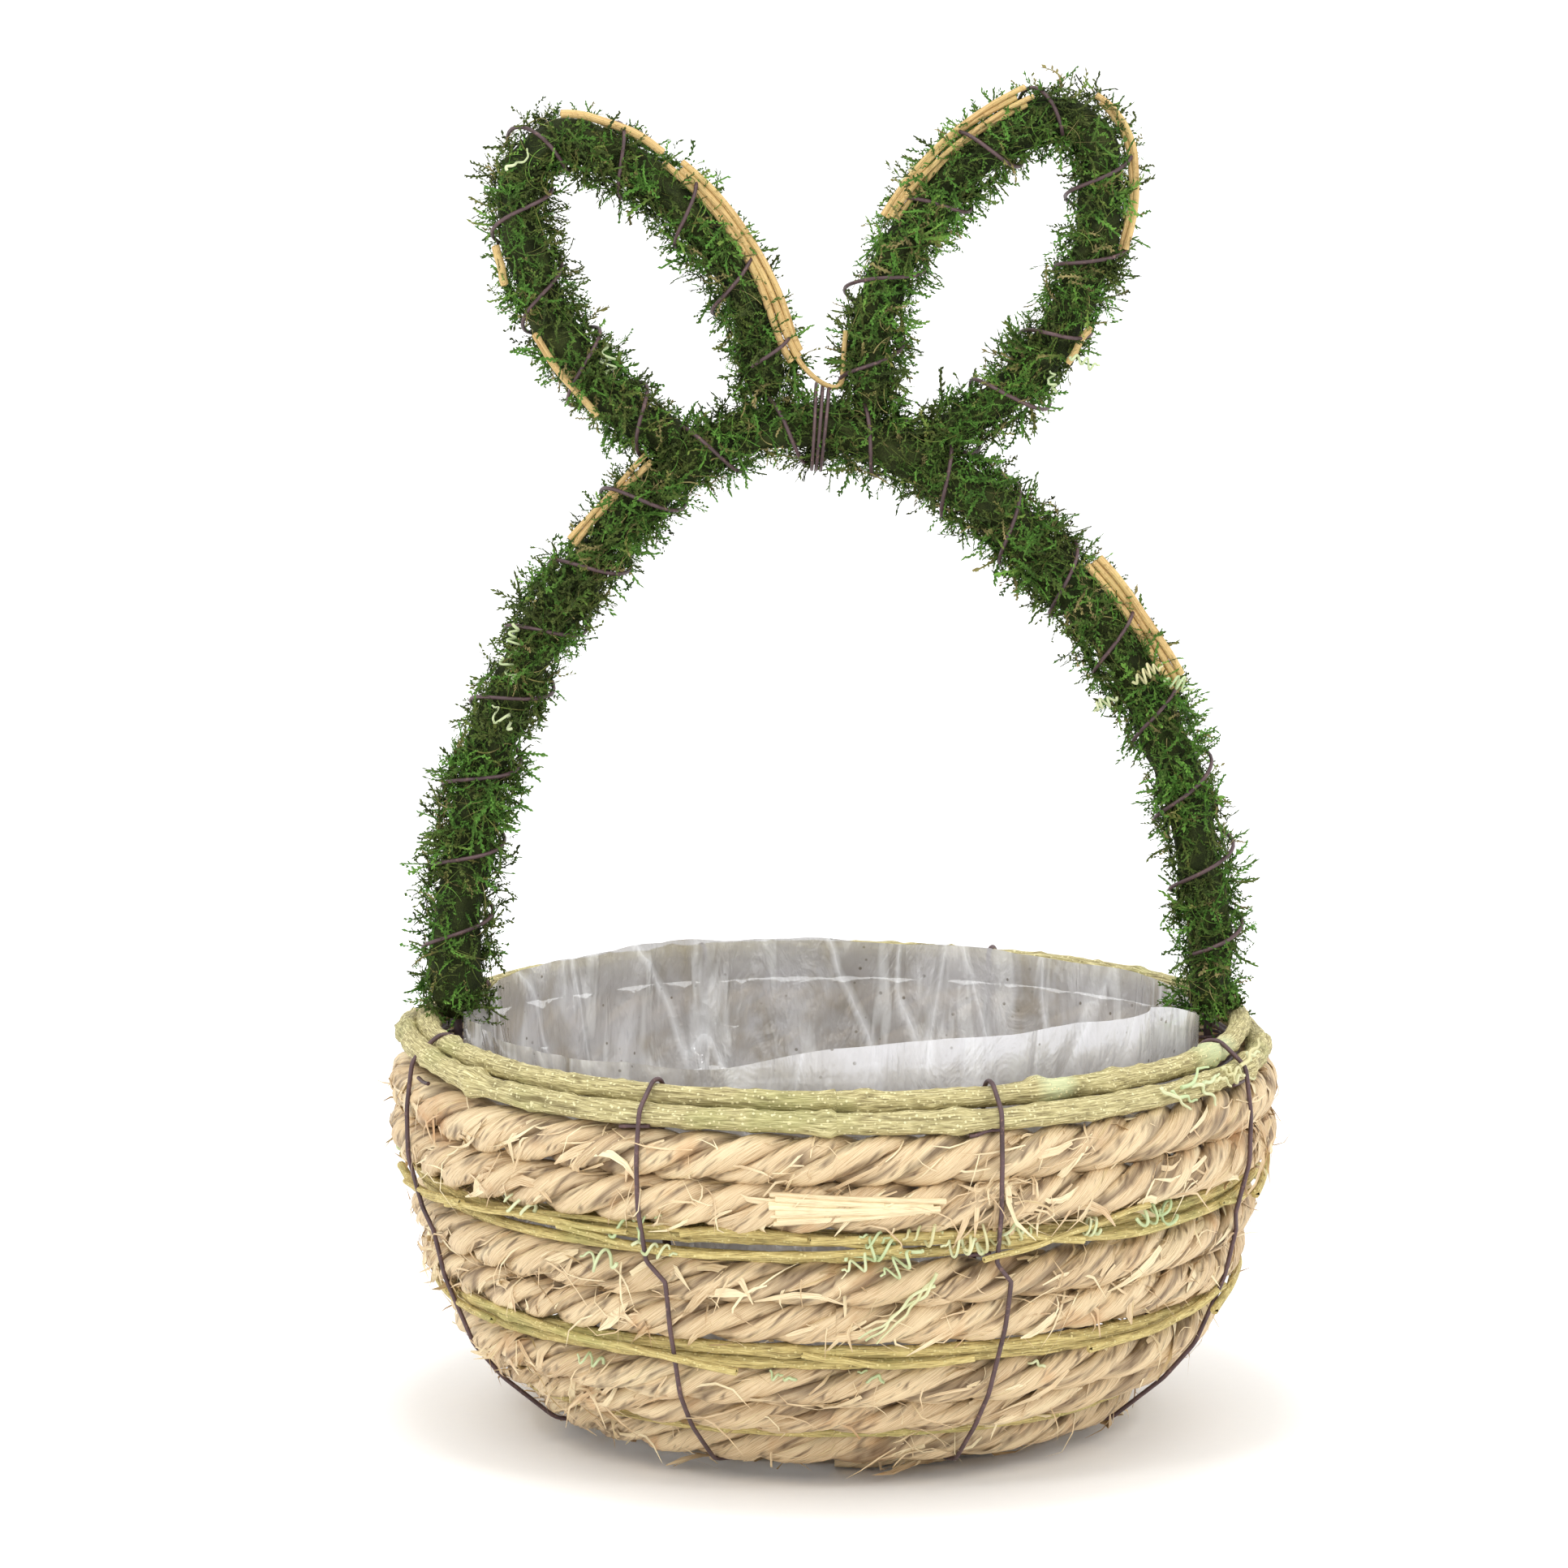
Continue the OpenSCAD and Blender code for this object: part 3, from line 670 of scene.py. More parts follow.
def lash_route(turn, rng):
    """The way of a lashing wire from inside the rim down over the courses to the base."""
    gap = 0.9 * MM
    upper_r, upper_z, upper_s = RIM_UPPER
    lower_r, lower_z, lower_s = RIM_LOWER
    upper_z -= 1.5 * MM
    lower_s *= RIM_SLIM
    hook = upper_s * RIM_SLIM + gap
    stops = [(upper_r - hook, upper_z - 6 * MM), (upper_r - hook, upper_z + hook * 0.4)]
    stops += [(upper_r - hook * 0.5, upper_z + hook * 0.95), (upper_r + hook * 0.5, upper_z + hook)]
    stops += [(lower_r + lower_s + gap, lower_z + 2 * MM)]
    chain = [RIM_LOWER, *ROPES, (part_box("base_coil")[1].x - 6.5 * MM, 6.2 * MM, 6.5 * MM)]
    for before, course, after in zip(chain, chain[1:], chain[2:]):
        way = np.array([after[0] - before[0], after[1] - before[1]])
        way /= np.linalg.norm(way)
        out = np.array([-way[1], way[0]]) * (course[2] + gap + 0.4 * MM)
        stops.append((course[0] + out[0], course[1] + out[1]))
    stops.append((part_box("base_coil")[1].x + 2.2 * MM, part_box("lash_wire_1")[0].z + 0.6 * MM))
    stops = np.array(stops)
    steps = np.concatenate([[0], np.cumsum(np.linalg.norm(np.diff(stops, axis=0), axis=1))])
    s = np.linspace(0, steps[-1], 120)
    radius, height = np.interp(s, steps, stops[:, 0]), np.interp(s, steps, stops[:, 1])
    radius, height = smoothed(radius, 2), smoothed(height, 2)
    drift = wave(rng, s / steps[-1] * 3, 1, 4, 2.2 * MM)
    shift = 5 * MM * (height < 72 * MM) * np.clip((72 * MM - height) / (6 * MM), 0, 1)
    return around(radius, height, turn + (drift + shift) / radius)


def lash_wires():
    """Eight dark wires over the courses, and the short twists that pull them in under the rim."""
    for i in range(1, 9):
        low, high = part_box(f"lash_wire_{i}")
        middle = (low + high) / 2
        turn = math.atan2(middle.x, -middle.y)
        rng = dice(60 + i)
        heap = Heap()
        heap.tube(lash_route(turn, rng), 0.68 * MM, 8)
        for ring, span in ((ROPES[0], 7), (ROPES[2], 5)):
            radius, height, section = ring
            t = turn + np.linspace(-0.3, 1, 14) * span * MM / radius * rng.choice([-1, 1])
            z = height + section + 1.2 * MM + wave(rng, np.linspace(0, 2, 14), 1, 3, 0.5 * MM)
            heap.tube(around(radius + 3.4 * MM, z, t), 0.6 * MM, 8)
        heap.piece(f"lash_wire_{i}_bent", tie_steel, [f"lash_wire_{i}"])


# ---- liner ----


def liner():
    """One sheet of film pushed into the bowl, pleated up its wall, with its edge above the rim."""
    low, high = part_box("liner_film")
    rng = dice(71)
    wall_r, floor_z, rim_z = high.x - 0.4 * MM, low.z + 0.5 * MM, high.z
    foot_x = (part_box("handle_tie_left")[0].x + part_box("handle_tie_left")[1].x) / -2
    columns, rows = 760, 64
    turn = np.linspace(0, TURN, columns, endpoint=False)[None, :]
    share = turn / TURN
    stops_s = np.array([0.0, 0.30, 0.36, 0.47, 0.60, 0.74, 0.92, 1.0])
    stops_r = np.array([3 * MM, 56 * MM, 66 * MM, 82 * MM, 96 * MM, 105 * MM, wall_r, wall_r])
    stops_z = np.array([floor_z, floor_z, floor_z + 2 * MM, 33 * MM, 50 * MM, 66 * MM, 96 * MM, rim_z])
    s = np.linspace(0, 1, rows)[:, None]
    radius = smoothed(np.interp(s, stops_s, stops_r), 40)
    height = smoothed(np.interp(s, stops_s, stops_z), 40)
    from_front = (turn + math.pi) % TURN - math.pi
    flap = np.clip((from_front + 0.5) / 0.7, 0, 1) * np.clip((1.5 - from_front) / 0.5, 0, 1)
    front_right = flap * flap * (3 - 2 * flap)
    back = bump(turn - math.pi, 0.3, 0.75)
    peaks = np.abs(wave(rng, turn, 9, 26, 3.6 * MM)) * back
    edge = 10 * MM * front_right + 2.2 * MM * back - 1 * MM + wave(rng, turn, 4, 18, 1.3 * MM) + peaks
    height = height + edge * np.clip((s - 0.9) / 0.1, 0, 1)
    on_wall = np.clip((s - 0.26) / 0.2, 0, 1)
    sway = 0.012 * np.sin(9 * s + 3 * turn)
    large = folds(rng, s * 0.5, share + sway, 3, 15)
    middle = folds(rng, s * 0.5, share + sway * 2, 5, 37)
    small = folds(rng, s * 0.5 + share * 3, share, 9, 80)
    inward = on_wall * (8 * MM * (1 - large) + 4.2 * MM * (1 - middle) + 1.2 * MM * (1 - small))
    top_share = np.clip((s - 0.5) / 0.5, 0, 1)
    inward = inward * (1 - 0.45 * top_share)
    for side in (math.pi / 2, 3 * math.pi / 2):
        near = bump(turn - side, 0, 9 * MM / foot_x) * np.clip((s - 0.7) / 0.15, 0, 1)
        inward = np.maximum(inward, near * (wall_r - foot_x + 8.5 * MM))
    radius = radius - inward
    height = height + on_wall * (1 - on_wall) * 3 * MM * (1 - middle)
    floor_lumps = (1 - on_wall) * 2.2 * MM * folds(rng, s, share, 5, 9) * np.clip(s / 0.1, 0, 1)
    points = around(radius, height + floor_lumps, turn)
    tint = 0.25 * patches(rng, s * 0.5, share, 3, 12) + 0.75 * front_right * np.clip((s - 0.88) / 0.1, 0, 1)
    heap = Heap()
    along = np.linspace(0, 0.19, rows)
    across = np.linspace(0, 0.7, columns + 1)
    heap.grid(points, along, across, tint, 1.0, (False, True))
    made = heap.piece("liner_film_sheet", film, ["liner_film"])
    return made


# ---- the handle and the ears ----


class Course:
    """A line in the handle's plane. A bend is (radius, degrees to the left), or (length, 0) if straight."""

    def __init__(self, x, z, heading, bends):
        heading = math.radians(heading)
        points, headings = [(x, z)], [heading]
        for bend, degrees in bends:
            turn = math.radians(degrees)
            length = abs(turn) * bend if degrees else bend
            pieces = max(2, round(length / MM))
            chord = length / pieces
            for _ in range(pieces):
                heading += turn / pieces / 2
                x += chord * math.cos(heading)
                z += chord * math.sin(heading)
                heading += turn / pieces / 2
                points.append((x, z))
                headings.append(heading)
        self.points, self.headings = np.array(points), np.array(headings)
        steps = np.linalg.norm(np.diff(self.points, axis=0), axis=1)
        self.s = np.concatenate([[0], np.cumsum(steps)])
        self.length = self.s[-1]

    def at(self, s):
        """The point, the direction of travel and the direction to the left of it."""
        x, z = (np.interp(s, self.s, self.points[:, k]) for k in (0, 1))
        heading = np.interp(s, self.s, self.headings)
        flat = np.zeros_like(x)
        ahead = np.stack([np.cos(heading), flat, np.sin(heading)], axis=-1)
        left = np.stack([-np.sin(heading), flat, np.cos(heading)], axis=-1)
        return np.stack([x, flat, z], axis=-1), ahead, left

    def beside(self, s, angle, reach):
        """Points around the line: angle 0 is to its left, and a quarter turn is to the front."""
        middle, _, left = self.at(s)
        out = self.outward(left, angle)
        return middle + out * np.broadcast_to(reach, np.shape(s))[..., None]

    def outward(self, left, angle):
        front = np.array([0.0, -1.0, 0.0])
        return left * np.cos(angle)[..., None] + front * np.sin(angle)[..., None]


grip = next(m for m in frame["record"]["mounts"] if m["name"] == "carrying_grip")
wire_low, wire_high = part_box("handle_wire")
CORE_R = 1.3 * MM
CROWN_X, CROWN_Z = grip["pos_m"][0], wire_high.z - CORE_R
FOOT_X = wire_high.x - CORE_R
SPRING_Z = 138 * MM
CROWN_R = 61 * MM
EAR_SIDE_R, EAR_TIP_R = 84 * MM, 14 * MM
EAR_HALF = 26 * MM
# Each ear: distance of its base from the crown, lean to the left and splay in degrees
EARS = {"left": (-19 * MM, 34.5, 35.5), "right": (25 * MM, -30.5, 41.5)}
HANDLE_MOSS_R, EAR_MOSS_R = 12 * MM, 11 * MM
FOOT_Z = 120 * MM


def arch_course():
    """The handle's middle line, from the left foot over the crown to the right foot."""
    rise = CROWN_Z - SPRING_Z

    def side(reach):
        turn = 2 * math.atan((reach - CROWN_R) / (rise - CROWN_R))
        return CROWN_R + (rise - CROWN_R) / math.sin(turn), math.degrees(turn)

    left_bend, left_turn = side(FOOT_X + CROWN_X)
    right_bend, right_turn = side(FOOT_X - CROWN_X)
    crown = (CROWN_R, left_turn + right_turn - 180)
    foot = (SPRING_Z - FOOT_Z, 0)
    bends = [foot, (left_bend, -left_turn), crown, (right_bend, -right_turn), foot]
    return Course(-FOOT_X, FOOT_Z, 90, bends)


def ear_course(ear):
    """An ear's middle line, from its left foot over its tip to its right foot."""
    base, lean, splay = EARS[ear]
    tip = 90 - math.degrees(
        math.atan2(
            math.sqrt((EAR_HALF - EAR_TIP_R) * (2 * EAR_SIDE_R - EAR_TIP_R - EAR_HALF)),
            EAR_SIDE_R - EAR_HALF,
        )
    )
    half = EAR_HALF - EAR_SIDE_R * (1 - math.cos(math.radians(splay)))
    x = CROWN_X + base - half * math.cos(math.radians(lean))
    z = CROWN_Z - CROWN_R + math.sqrt(CROWN_R**2 - base**2) - half * math.sin(math.radians(lean))
    side = (EAR_SIDE_R, tip - 90 - splay)
    return Course(x, z, 90 + splay + lean, [side, (EAR_TIP_R, -2 * tip), side])


def frond_shape(rng):
    """One strand of moss, 1 long, that sets out near +X: a curling stem of six strips and twelve leaves."""
    steps = 25
    share = np.linspace(0, 1, steps)
    side, up = rng.normal(0, 1.3) * share + rng.normal(0, 0.3), rng.uniform(-0.5, 1.5) * share
    way = np.stack([np.cos(side) * np.cos(up), np.sin(side) * np.cos(up), np.sin(up)], axis=1)
    line = np.cumsum(way, axis=0) / steps

    def stem(x):
        return np.array([np.interp(x, share, line[:, axis]) for axis in range(3)])

    faces = []
    cuts = np.linspace(0, 1, 7)
    for a, b in zip(cuts, cuts[1:]):
        wide = np.array([-math.sin(side[0]), math.cos(side[0]), 0.4]) * 0.03
        faces.append([stem(a) - wide, stem(a) + wide, stem(b) + wide * 0.7, stem(b) - wide * 0.7])
    for k in range(12):
        x = 0.06 + 0.08 * k
        heading = np.interp(x, share, side)
        angle = heading + rng.uniform(0.3, 0.85) * (1 if k % 2 else -1)
        length = rng.uniform(0.1, 0.19) * (1.15 - 0.5 * x)
        rise = np.interp(x, share, up) + rng.normal(0, 0.45)
        ahead = np.array([math.cos(angle), math.sin(angle), rise]) * length
        across = np.array([-math.sin(angle), math.cos(angle), rng.normal(0, 0.5)]) * 0.036
        root = stem(x)
        faces.append([root, root + ahead * 0.5 + across, root + ahead, root + ahead * 0.5 - across])
    return np.array(faces)


def plant(heap, rng, roots, out, size, tint, stand):
    """Fronds at these roots: out is the way off the surface, stand how upright they are, from 0 to 1."""
    count = len(roots)
    shapes = [frond_shape(rng) for _ in range(24)]
    any_way = rng.normal(size=(count, 3))
    along = any_way - out * np.sum(any_way * out, axis=1, keepdims=True)
    along /= np.linalg.norm(along, axis=1, keepdims=True)
    ahead = along * np.cos(stand)[:, None] + out * np.sin(stand)[:, None]
    above = out * np.cos(stand)[:, None] - along * np.sin(stand)[:, None]
    roll = rng.normal(0, 0.9, count)[:, None]
    side = np.cross(above, ahead)
    above, side = above * np.cos(roll) + side * np.sin(roll), side * np.cos(roll) - above * np.sin(roll)
    axes = np.stack([ahead, side, above], axis=1) * size[:, None, None]
    kind = rng.integers(0, len(shapes), count)
    for k, shape in enumerate(shapes):
        chosen = kind == k
        flat = shape.reshape(-1, 3)
        points = roots[chosen][:, None] + flat @ axes[chosen]
        total = int(chosen.sum())
        faces = np.arange(total * len(flat)).reshape(-1, 4)
        fibre = np.tile(shape[:, :, :2] * 8 * MM, (total, 1, 1))
        # Painted shade: low at each frond's root and rising to its tip, so the moss is painted darker deep
        # down.
        shade_relief = np.tile(0.15 + 0.85 * flat[:, 0], total)
        heap.add(points.reshape(-1, 3), faces, fibre, np.repeat(tint[chosen], len(flat)), shade_relief)


def strands(heap, rng, course, radius, start, end, count):
    """Thin curling threads of dry moss, olive and brown, that lie over the sleeve and leave it at one end."""
    steps = 9
    t = np.linspace(0, 1, steps)[None, :]
    length = rng.uniform(6 * MM, 20 * MM, (count, 1))
    lean = rng.uniform(0, TURN, (count, 1)) + rng.normal(0, 1.6, (count, 1)) * t
    run = np.cumsum(np.cos(lean) * length / steps, axis=1)
    swing = np.cumsum(np.sin(lean) * length / steps, axis=1) / radius
    s = np.clip(rng.uniform(start, end, (count, 1)) + run, 0, course.length)
    angle = rng.uniform(0, TURN, (count, 1)) + swing
    lift = radius * (0.82 + rng.uniform(0, 0.12, (count, 1))) + rng.uniform(0, 4 * MM, (count, 1)) * t**2
    middles = course.beside(s, angle, lift)
    across = rng.normal(size=(count, 1, 3))
    across /= np.linalg.norm(across, axis=2, keepdims=True)
    sides = across * (rng.uniform(0.1 * MM, 0.22 * MM, (count, 1)) * (1.15 - t))[:, :, None]
    tints = np.where(rng.random(count) < 0.5, rng.uniform(0.86, 1.0, count), rng.uniform(0.12, 0.7, count))
    heap.ribbons(middles, sides, tints)


def tufts(heap, rng, course, radius, places):
    """Strands that stand out together. A place is how far along, the angle, the length and how many."""
    for s, angle, length, count in places:
        s = s + rng.normal(0, 2.6 * MM, count)
        angle = angle + rng.normal(0, 0.22, count)
        middle, _, left = course.at(np.clip(s, 0, course.length))
        out = course.outward(left, angle)
        size = length * rng.uniform(0.45, 1.0, count)
        tint = np.clip(rng.uniform(0.15, 0.75) + rng.normal(0, 0.12, count), 0, 1)
        plant(heap, rng, middle + out * radius * 0.78, out, size, tint, rng.uniform(0.2, 1.3, count))


def moss_sleeve(name, course, radii, start, end, seed, replaces, places=(), density=0.23):
    """Moss around a course: a lumpy core in painted shade, clumps of curling strands, threads and sparse
    tufts.
    radii is (how far along, radius) pairs, and density is strands to a square millimetre."""
    rng = dice(seed)
    heap = Heap()

    def radius_at(s):
        return np.interp(s, *zip(*radii))

    radius = float(radius_at((start + end) / 2))
    s = np.arange(start, end, 2.0 * MM)
    lumps_seed = dice(seed + 1)

    def rough(along, turned):
        lumps = patches(lumps_seed, along, turned, round((end - start) / (9 * MM)), 7)
        fine = patches(lumps_seed, along, turned, round((end - start) / (3 * MM)), 16)
        # Painted shade: the core's second number stays low, so the moss material paints it near black-green.
        return radius * (0.24 * (lumps - 0.6) + 0.16 * (fine - 0.5)), fine * 0.2

    ends = np.clip(np.minimum(s - start, end - s) / (6 * MM), 0.15, 1) ** 0.5
    heap.tube(course.beside(s, np.zeros_like(s), 0.0), 0.68 * radius_at(s) * ends, 18, 0.15, False, rough)
    count = int((end - start) * TURN * radius / MM**2 * density)
    s = rng.uniform(start - 1 * MM, end + 1 * MM, count)
    angle = rng.uniform(0, TURN, count)
    place = (s - start) / (end - start)
    lumps = patches(rng, place, angle / TURN, round((end - start) / (7 * MM)), 7)
    reach = radius_at(s) * (0.56 + 0.4 * lumps + rng.uniform(0, 0.1, count))
    middle, _, left = course.at(np.clip(s, 0, course.length))
    out = course.outward(left, angle)
    drift = patches(rng, place, angle / TURN, round((end - start) / (11 * MM)), 5)
    tint = np.clip(-0.04 + 0.8 * drift + rng.normal(0, 0.15, count), 0.0, 0.84)
    brown = rng.random(count) < 0.1
    tint[brown] = rng.uniform(0.86, 1.0, brown.sum())
    size = rng.uniform(5 * MM, 10.5 * MM, count) * (0.85 + 0.4 * lumps)
    stand = np.clip(rng.normal(-0.1, 0.2, count), -0.35, 0.9)
    kept = rng.random(count) < 2.2 * lumps
    roots = middle + out * reach[:, None]
    plant(heap, rng, roots[kept], out[kept], size[kept], tint[kept], stand[kept])
    strands(heap, rng, course, radius, start, end, int((end - start) / MM * 2.2))
    loose = int((end - start) / (9 * MM))
    extra = [
        (rng.uniform(start, end), rng.uniform(0, TURN), rng.uniform(6 * MM, 10.5 * MM), 16)
        for _ in range(loose)
    ]
    tufts(heap, rng, course, radius, extra)
    tufts(heap, rng, course, radius, places)
    return heap.piece(name, moss, replaces, smooth=False)


def binding(name, course, radius, start, end, pitch, seed, replaces):
    """A dark wire wound around the moss in one long spiral, sunk into it here and there."""
    rng = dice(seed)
    s = np.arange(start, end, 0.8 * MM)
    angle = TURN * (s - start) / pitch + wave(rng, s / (60 * MM), 1, 5, 0.5)
    reach = radius * (0.86 + wave(rng, s / (9 * MM), 1, 6, 0.11))
    heap = Heap()
    heap.tube(course.beside(s, angle, reach), 0.6 * MM, 6)
    return heap.piece(name, tie_steel, replaces)


ARCH = arch_course()
# The handle's moss as seen from the front: (how far along, radius)
ARCH_RADII = [(share * ARCH.length, radius * MM) for share, radius in (
    (0.0, 11.6), (0.12, 11), (0.28, 9.8), (0.38, 8.6), (0.5, 9.8),
    (0.62, 11), (0.72, 11), (0.85, 9.6), (1, 9.6),
)]
INSIDE = math.pi
# Long tufts: (share of the way along, angle around, length in mm, how many)
ARCH_TUFTS = (
    (0.1, 0.1, 13, 9), (0.09, INSIDE, 12, 10), (0.17, INSIDE + 0.3, 11, 12), (0.3, -0.2, 10, 14),
    (0.2, 0.0, 9, 8), (0.37, 0.2, 9, 12), (0.61, INSIDE, 10, 16), (0.64, INSIDE - 0.4, 13, 18),
    (0.68, INSIDE + 0.2, 12, 14), (0.75, INSIDE, 13, 16), (0.62, 0.0, 10, 12), (0.79, 0.1, 8, 10),
    (0.86, INSIDE, 12, 12), (0.93, INSIDE, 10, 10),
)
EAR_TUFTS = {
    "left": (
        (0.46, 0.1, 15, 3), (0.4, 0.0, 10, 8), (0.55, 0.0, 8, 8), (0.2, INSIDE, 12, 12),
        (0.34, INSIDE, 10, 10), (0.72, INSIDE, 9, 12), (0.12, 0.2, 11, 14),
    ),
    "right": (
        (0.47, 0.1, 16, 3), (0.28, 0.2, 9, 8), (0.22, INSIDE, 10, 12), (0.58, 0.0, 10, 10),
        (0.7, INSIDE, 9, 12), (0.8, INSIDE - 0.3, 12, 14), (0.86, 0.0, 11, 12),
    ),
}


def tuft_places(course, tufts_here):
    """The places of these tufts along the course, in metres."""
    return [(share * course.length, angle, length * MM, count) for share, angle, length, count in tufts_here]


def handle_and_ears():
    """The moss sleeves of the handle, in three pieces, and of the two ears, each with its binding wire."""
    third, lap, bare, pitch = ARCH.length / 3, 2 * MM, 20 * MM, 24 * MM
    for k, part in enumerate(("left", "crown", "right")):
        start, end = k * third - lap * (k > 0), (k + 1) * third + lap * (k < 2)
        places = [place for place in tuft_places(ARCH, ARCH_TUFTS) if start <= place[0] < end]
        name, seed = f"handle_moss_{part}", 200 + 10 * k
        moss_sleeve(name, ARCH, ARCH_RADII, start, end, seed, ["handle_moss"], places)
    low, high = bare, ARCH.length - bare
    binding("handle_binding_spiral", ARCH, HANDLE_MOSS_R, low, high, pitch, 240, ["handle_binding"])
    for k, ear in enumerate(EARS):
        course = ear_course(ear)
        radii = [(0.0, 8.4 * MM), (0.35 * course.length, 9.4 * MM), (course.length, 8.6 * MM)]
        places = tuft_places(course, EAR_TUFTS[ear])
        node = f"ear_{ear}_moss"
        low, high = 5 * MM, course.length - 5 * MM
        moss_sleeve(f"{node}_sprigs", course, radii, low, high, 300 + 10 * k, [node], places)
        node = f"ear_{ear}_binding"
        low, high = 16 * MM, course.length - 16 * MM
        binding(f"{node}_spiral", course, EAR_MOSS_R, low, high, pitch, 340 + k, [node])


# ---- stems and tendrils that show on the moss ----


def stem_bundle(heap, rng, path, count, radius, spread):
    """Stems side by side along a path, which wander a little and part at their ends."""
    steps = len(path)
    t = np.linspace(0, 1, steps)
    ways = np.gradient(path, axis=0)
    ways /= np.linalg.norm(ways, axis=1, keepdims=True)
    front = np.array([0.0, -1.0, 0.0])
    side = np.cross(ways, front)
    for k in range(count):
        offset = (k - (count - 1) / 2) * spread + wave(rng, t * 3, 1, 4, 0.5 * MM)
        rise = wave(rng, t * 3, 1, 4, 0.4 * MM) - 0.4 * MM * (k % 2)
        first, last = sorted(rng.choice(np.arange(steps // 9 + 1), 2)) if steps > 18 else (0, 0)
        line = path + side * offset[:, None] + front * rise[:, None]
        line = line[first : steps - last]
        thick = radius * rng.uniform(0.8, 1.1) * (1 + wave(rng, np.linspace(0, 6, len(line)), 3, 9, 0.06))
        heap.tube(line, thick, 10, rng.uniform(0.2, 0.9))


def along_course(course, first, last, angle, reach):
    """Points beside a course between two shares of its length."""
    s = np.linspace(first, last, 60) * course.length
    return course.beside(s, np.linspace(angle, angle, 60), reach)


def shown_stems():
    """Dry stems bound on outside the moss: in the notch, along the edges of the ears and on the handle."""
    left, right = ear_course("left"), ear_course("right")
    rng = dice(400)
    out = EAR_MOSS_R * 0.87
    heap = Heap()
    down = along_course(left, 0.655, 0.955, 0.5, out)
    up = along_course(right, 0.05, 0.13, 0.4, out * 0.98)
    bend = smoothed(np.concatenate([down, up]), 60)
    stem_bundle(heap, rng, bend[: len(down)], 3, 1.15 * MM, 2.0 * MM)
    stem_bundle(heap, rng, bend[len(down) * 3 // 4 :], 1, 0.85 * MM, 0.0)
    # Each run: first and last share of the course, angle, reach, how many, then radius and spread in mm
    runs = {
        "ear_left": (left, (
            (0.53, 0.66, 0.5, out, 1, 1.2, 0.0), (0.14, 0.27, 0.9, out, 1, 1.3, 0.0),
            (0.33, 0.38, 0.5, out, 1, 1.3, 0.0),
        )),
        "ear_right": (right, (
            (0.25, 0.46, 0.6, out, 4, 1.0, 1.5), (0.5, 0.66, 0.35, out * 0.97, 2, 0.9, 1.4),
            (0.74, 0.79, 0.8, out, 1, 1.2, 0.0),
        )),
        "handle": (ARCH, (
            (0.32, 0.4, 0.6, 9.4 * MM, 2, 0.9, 2.0), (0.69, 0.785, 0.5, 11 * MM, 3, 1.3, 2.1),
        )),
    }
    nodes = {
        "ear_left": ["ear_left_stem"],
        "ear_right": ["ear_right_stem"],
        "handle": [f"handle_stem_{i}" for i in (1, 2, 3)],
    }
    for place, (course, stretches) in runs.items():
        for first, last, angle, reach, count, radius, spread in stretches:
            path = along_course(course, first, last, angle, reach)
            stem_bundle(heap, rng, path, count, radius * MM, spread * MM)
        heap.piece(f"{place}_stems_shown", dry_stem, nodes[place])
        heap = Heap()


def curl(heap, rng, start, way, length, coil, loops, radius=0.42 * MM):
    """A tendril that winds around the way it goes, tighter and tighter."""
    t = np.linspace(0, 1, 22 + 16 * loops)
    way = np.array(way, float) / np.linalg.norm(way)
    side = np.cross(way, [0.1, -1.0, 0.2])
    side /= np.linalg.norm(side)
    front = np.cross(side, way)
    turn = TURN * loops * t**1.3 + rng.uniform(0, TURN) + wave(rng, t * 5, 1, 4, 1.0)
    swell = rng.uniform(0.8, 1.3) + wave(rng, t * 4, 1, 4, 0.3)
    size = coil * np.sin(np.pi * np.clip(t * 1.1, 0, 1)) ** 0.6 * swell
    sway = wave(rng, t * 4, 1, 3, 1.2 * MM)
    path = np.array(start) + way * (t * length)[:, None]
    path = path + side * (np.cos(turn) * size + sway)[:, None] + front * (np.sin(turn) * size * 0.6)[:, None]
    heap.tube(path, radius * (1.15 - 0.5 * t), 6, rng.uniform(0, 1))


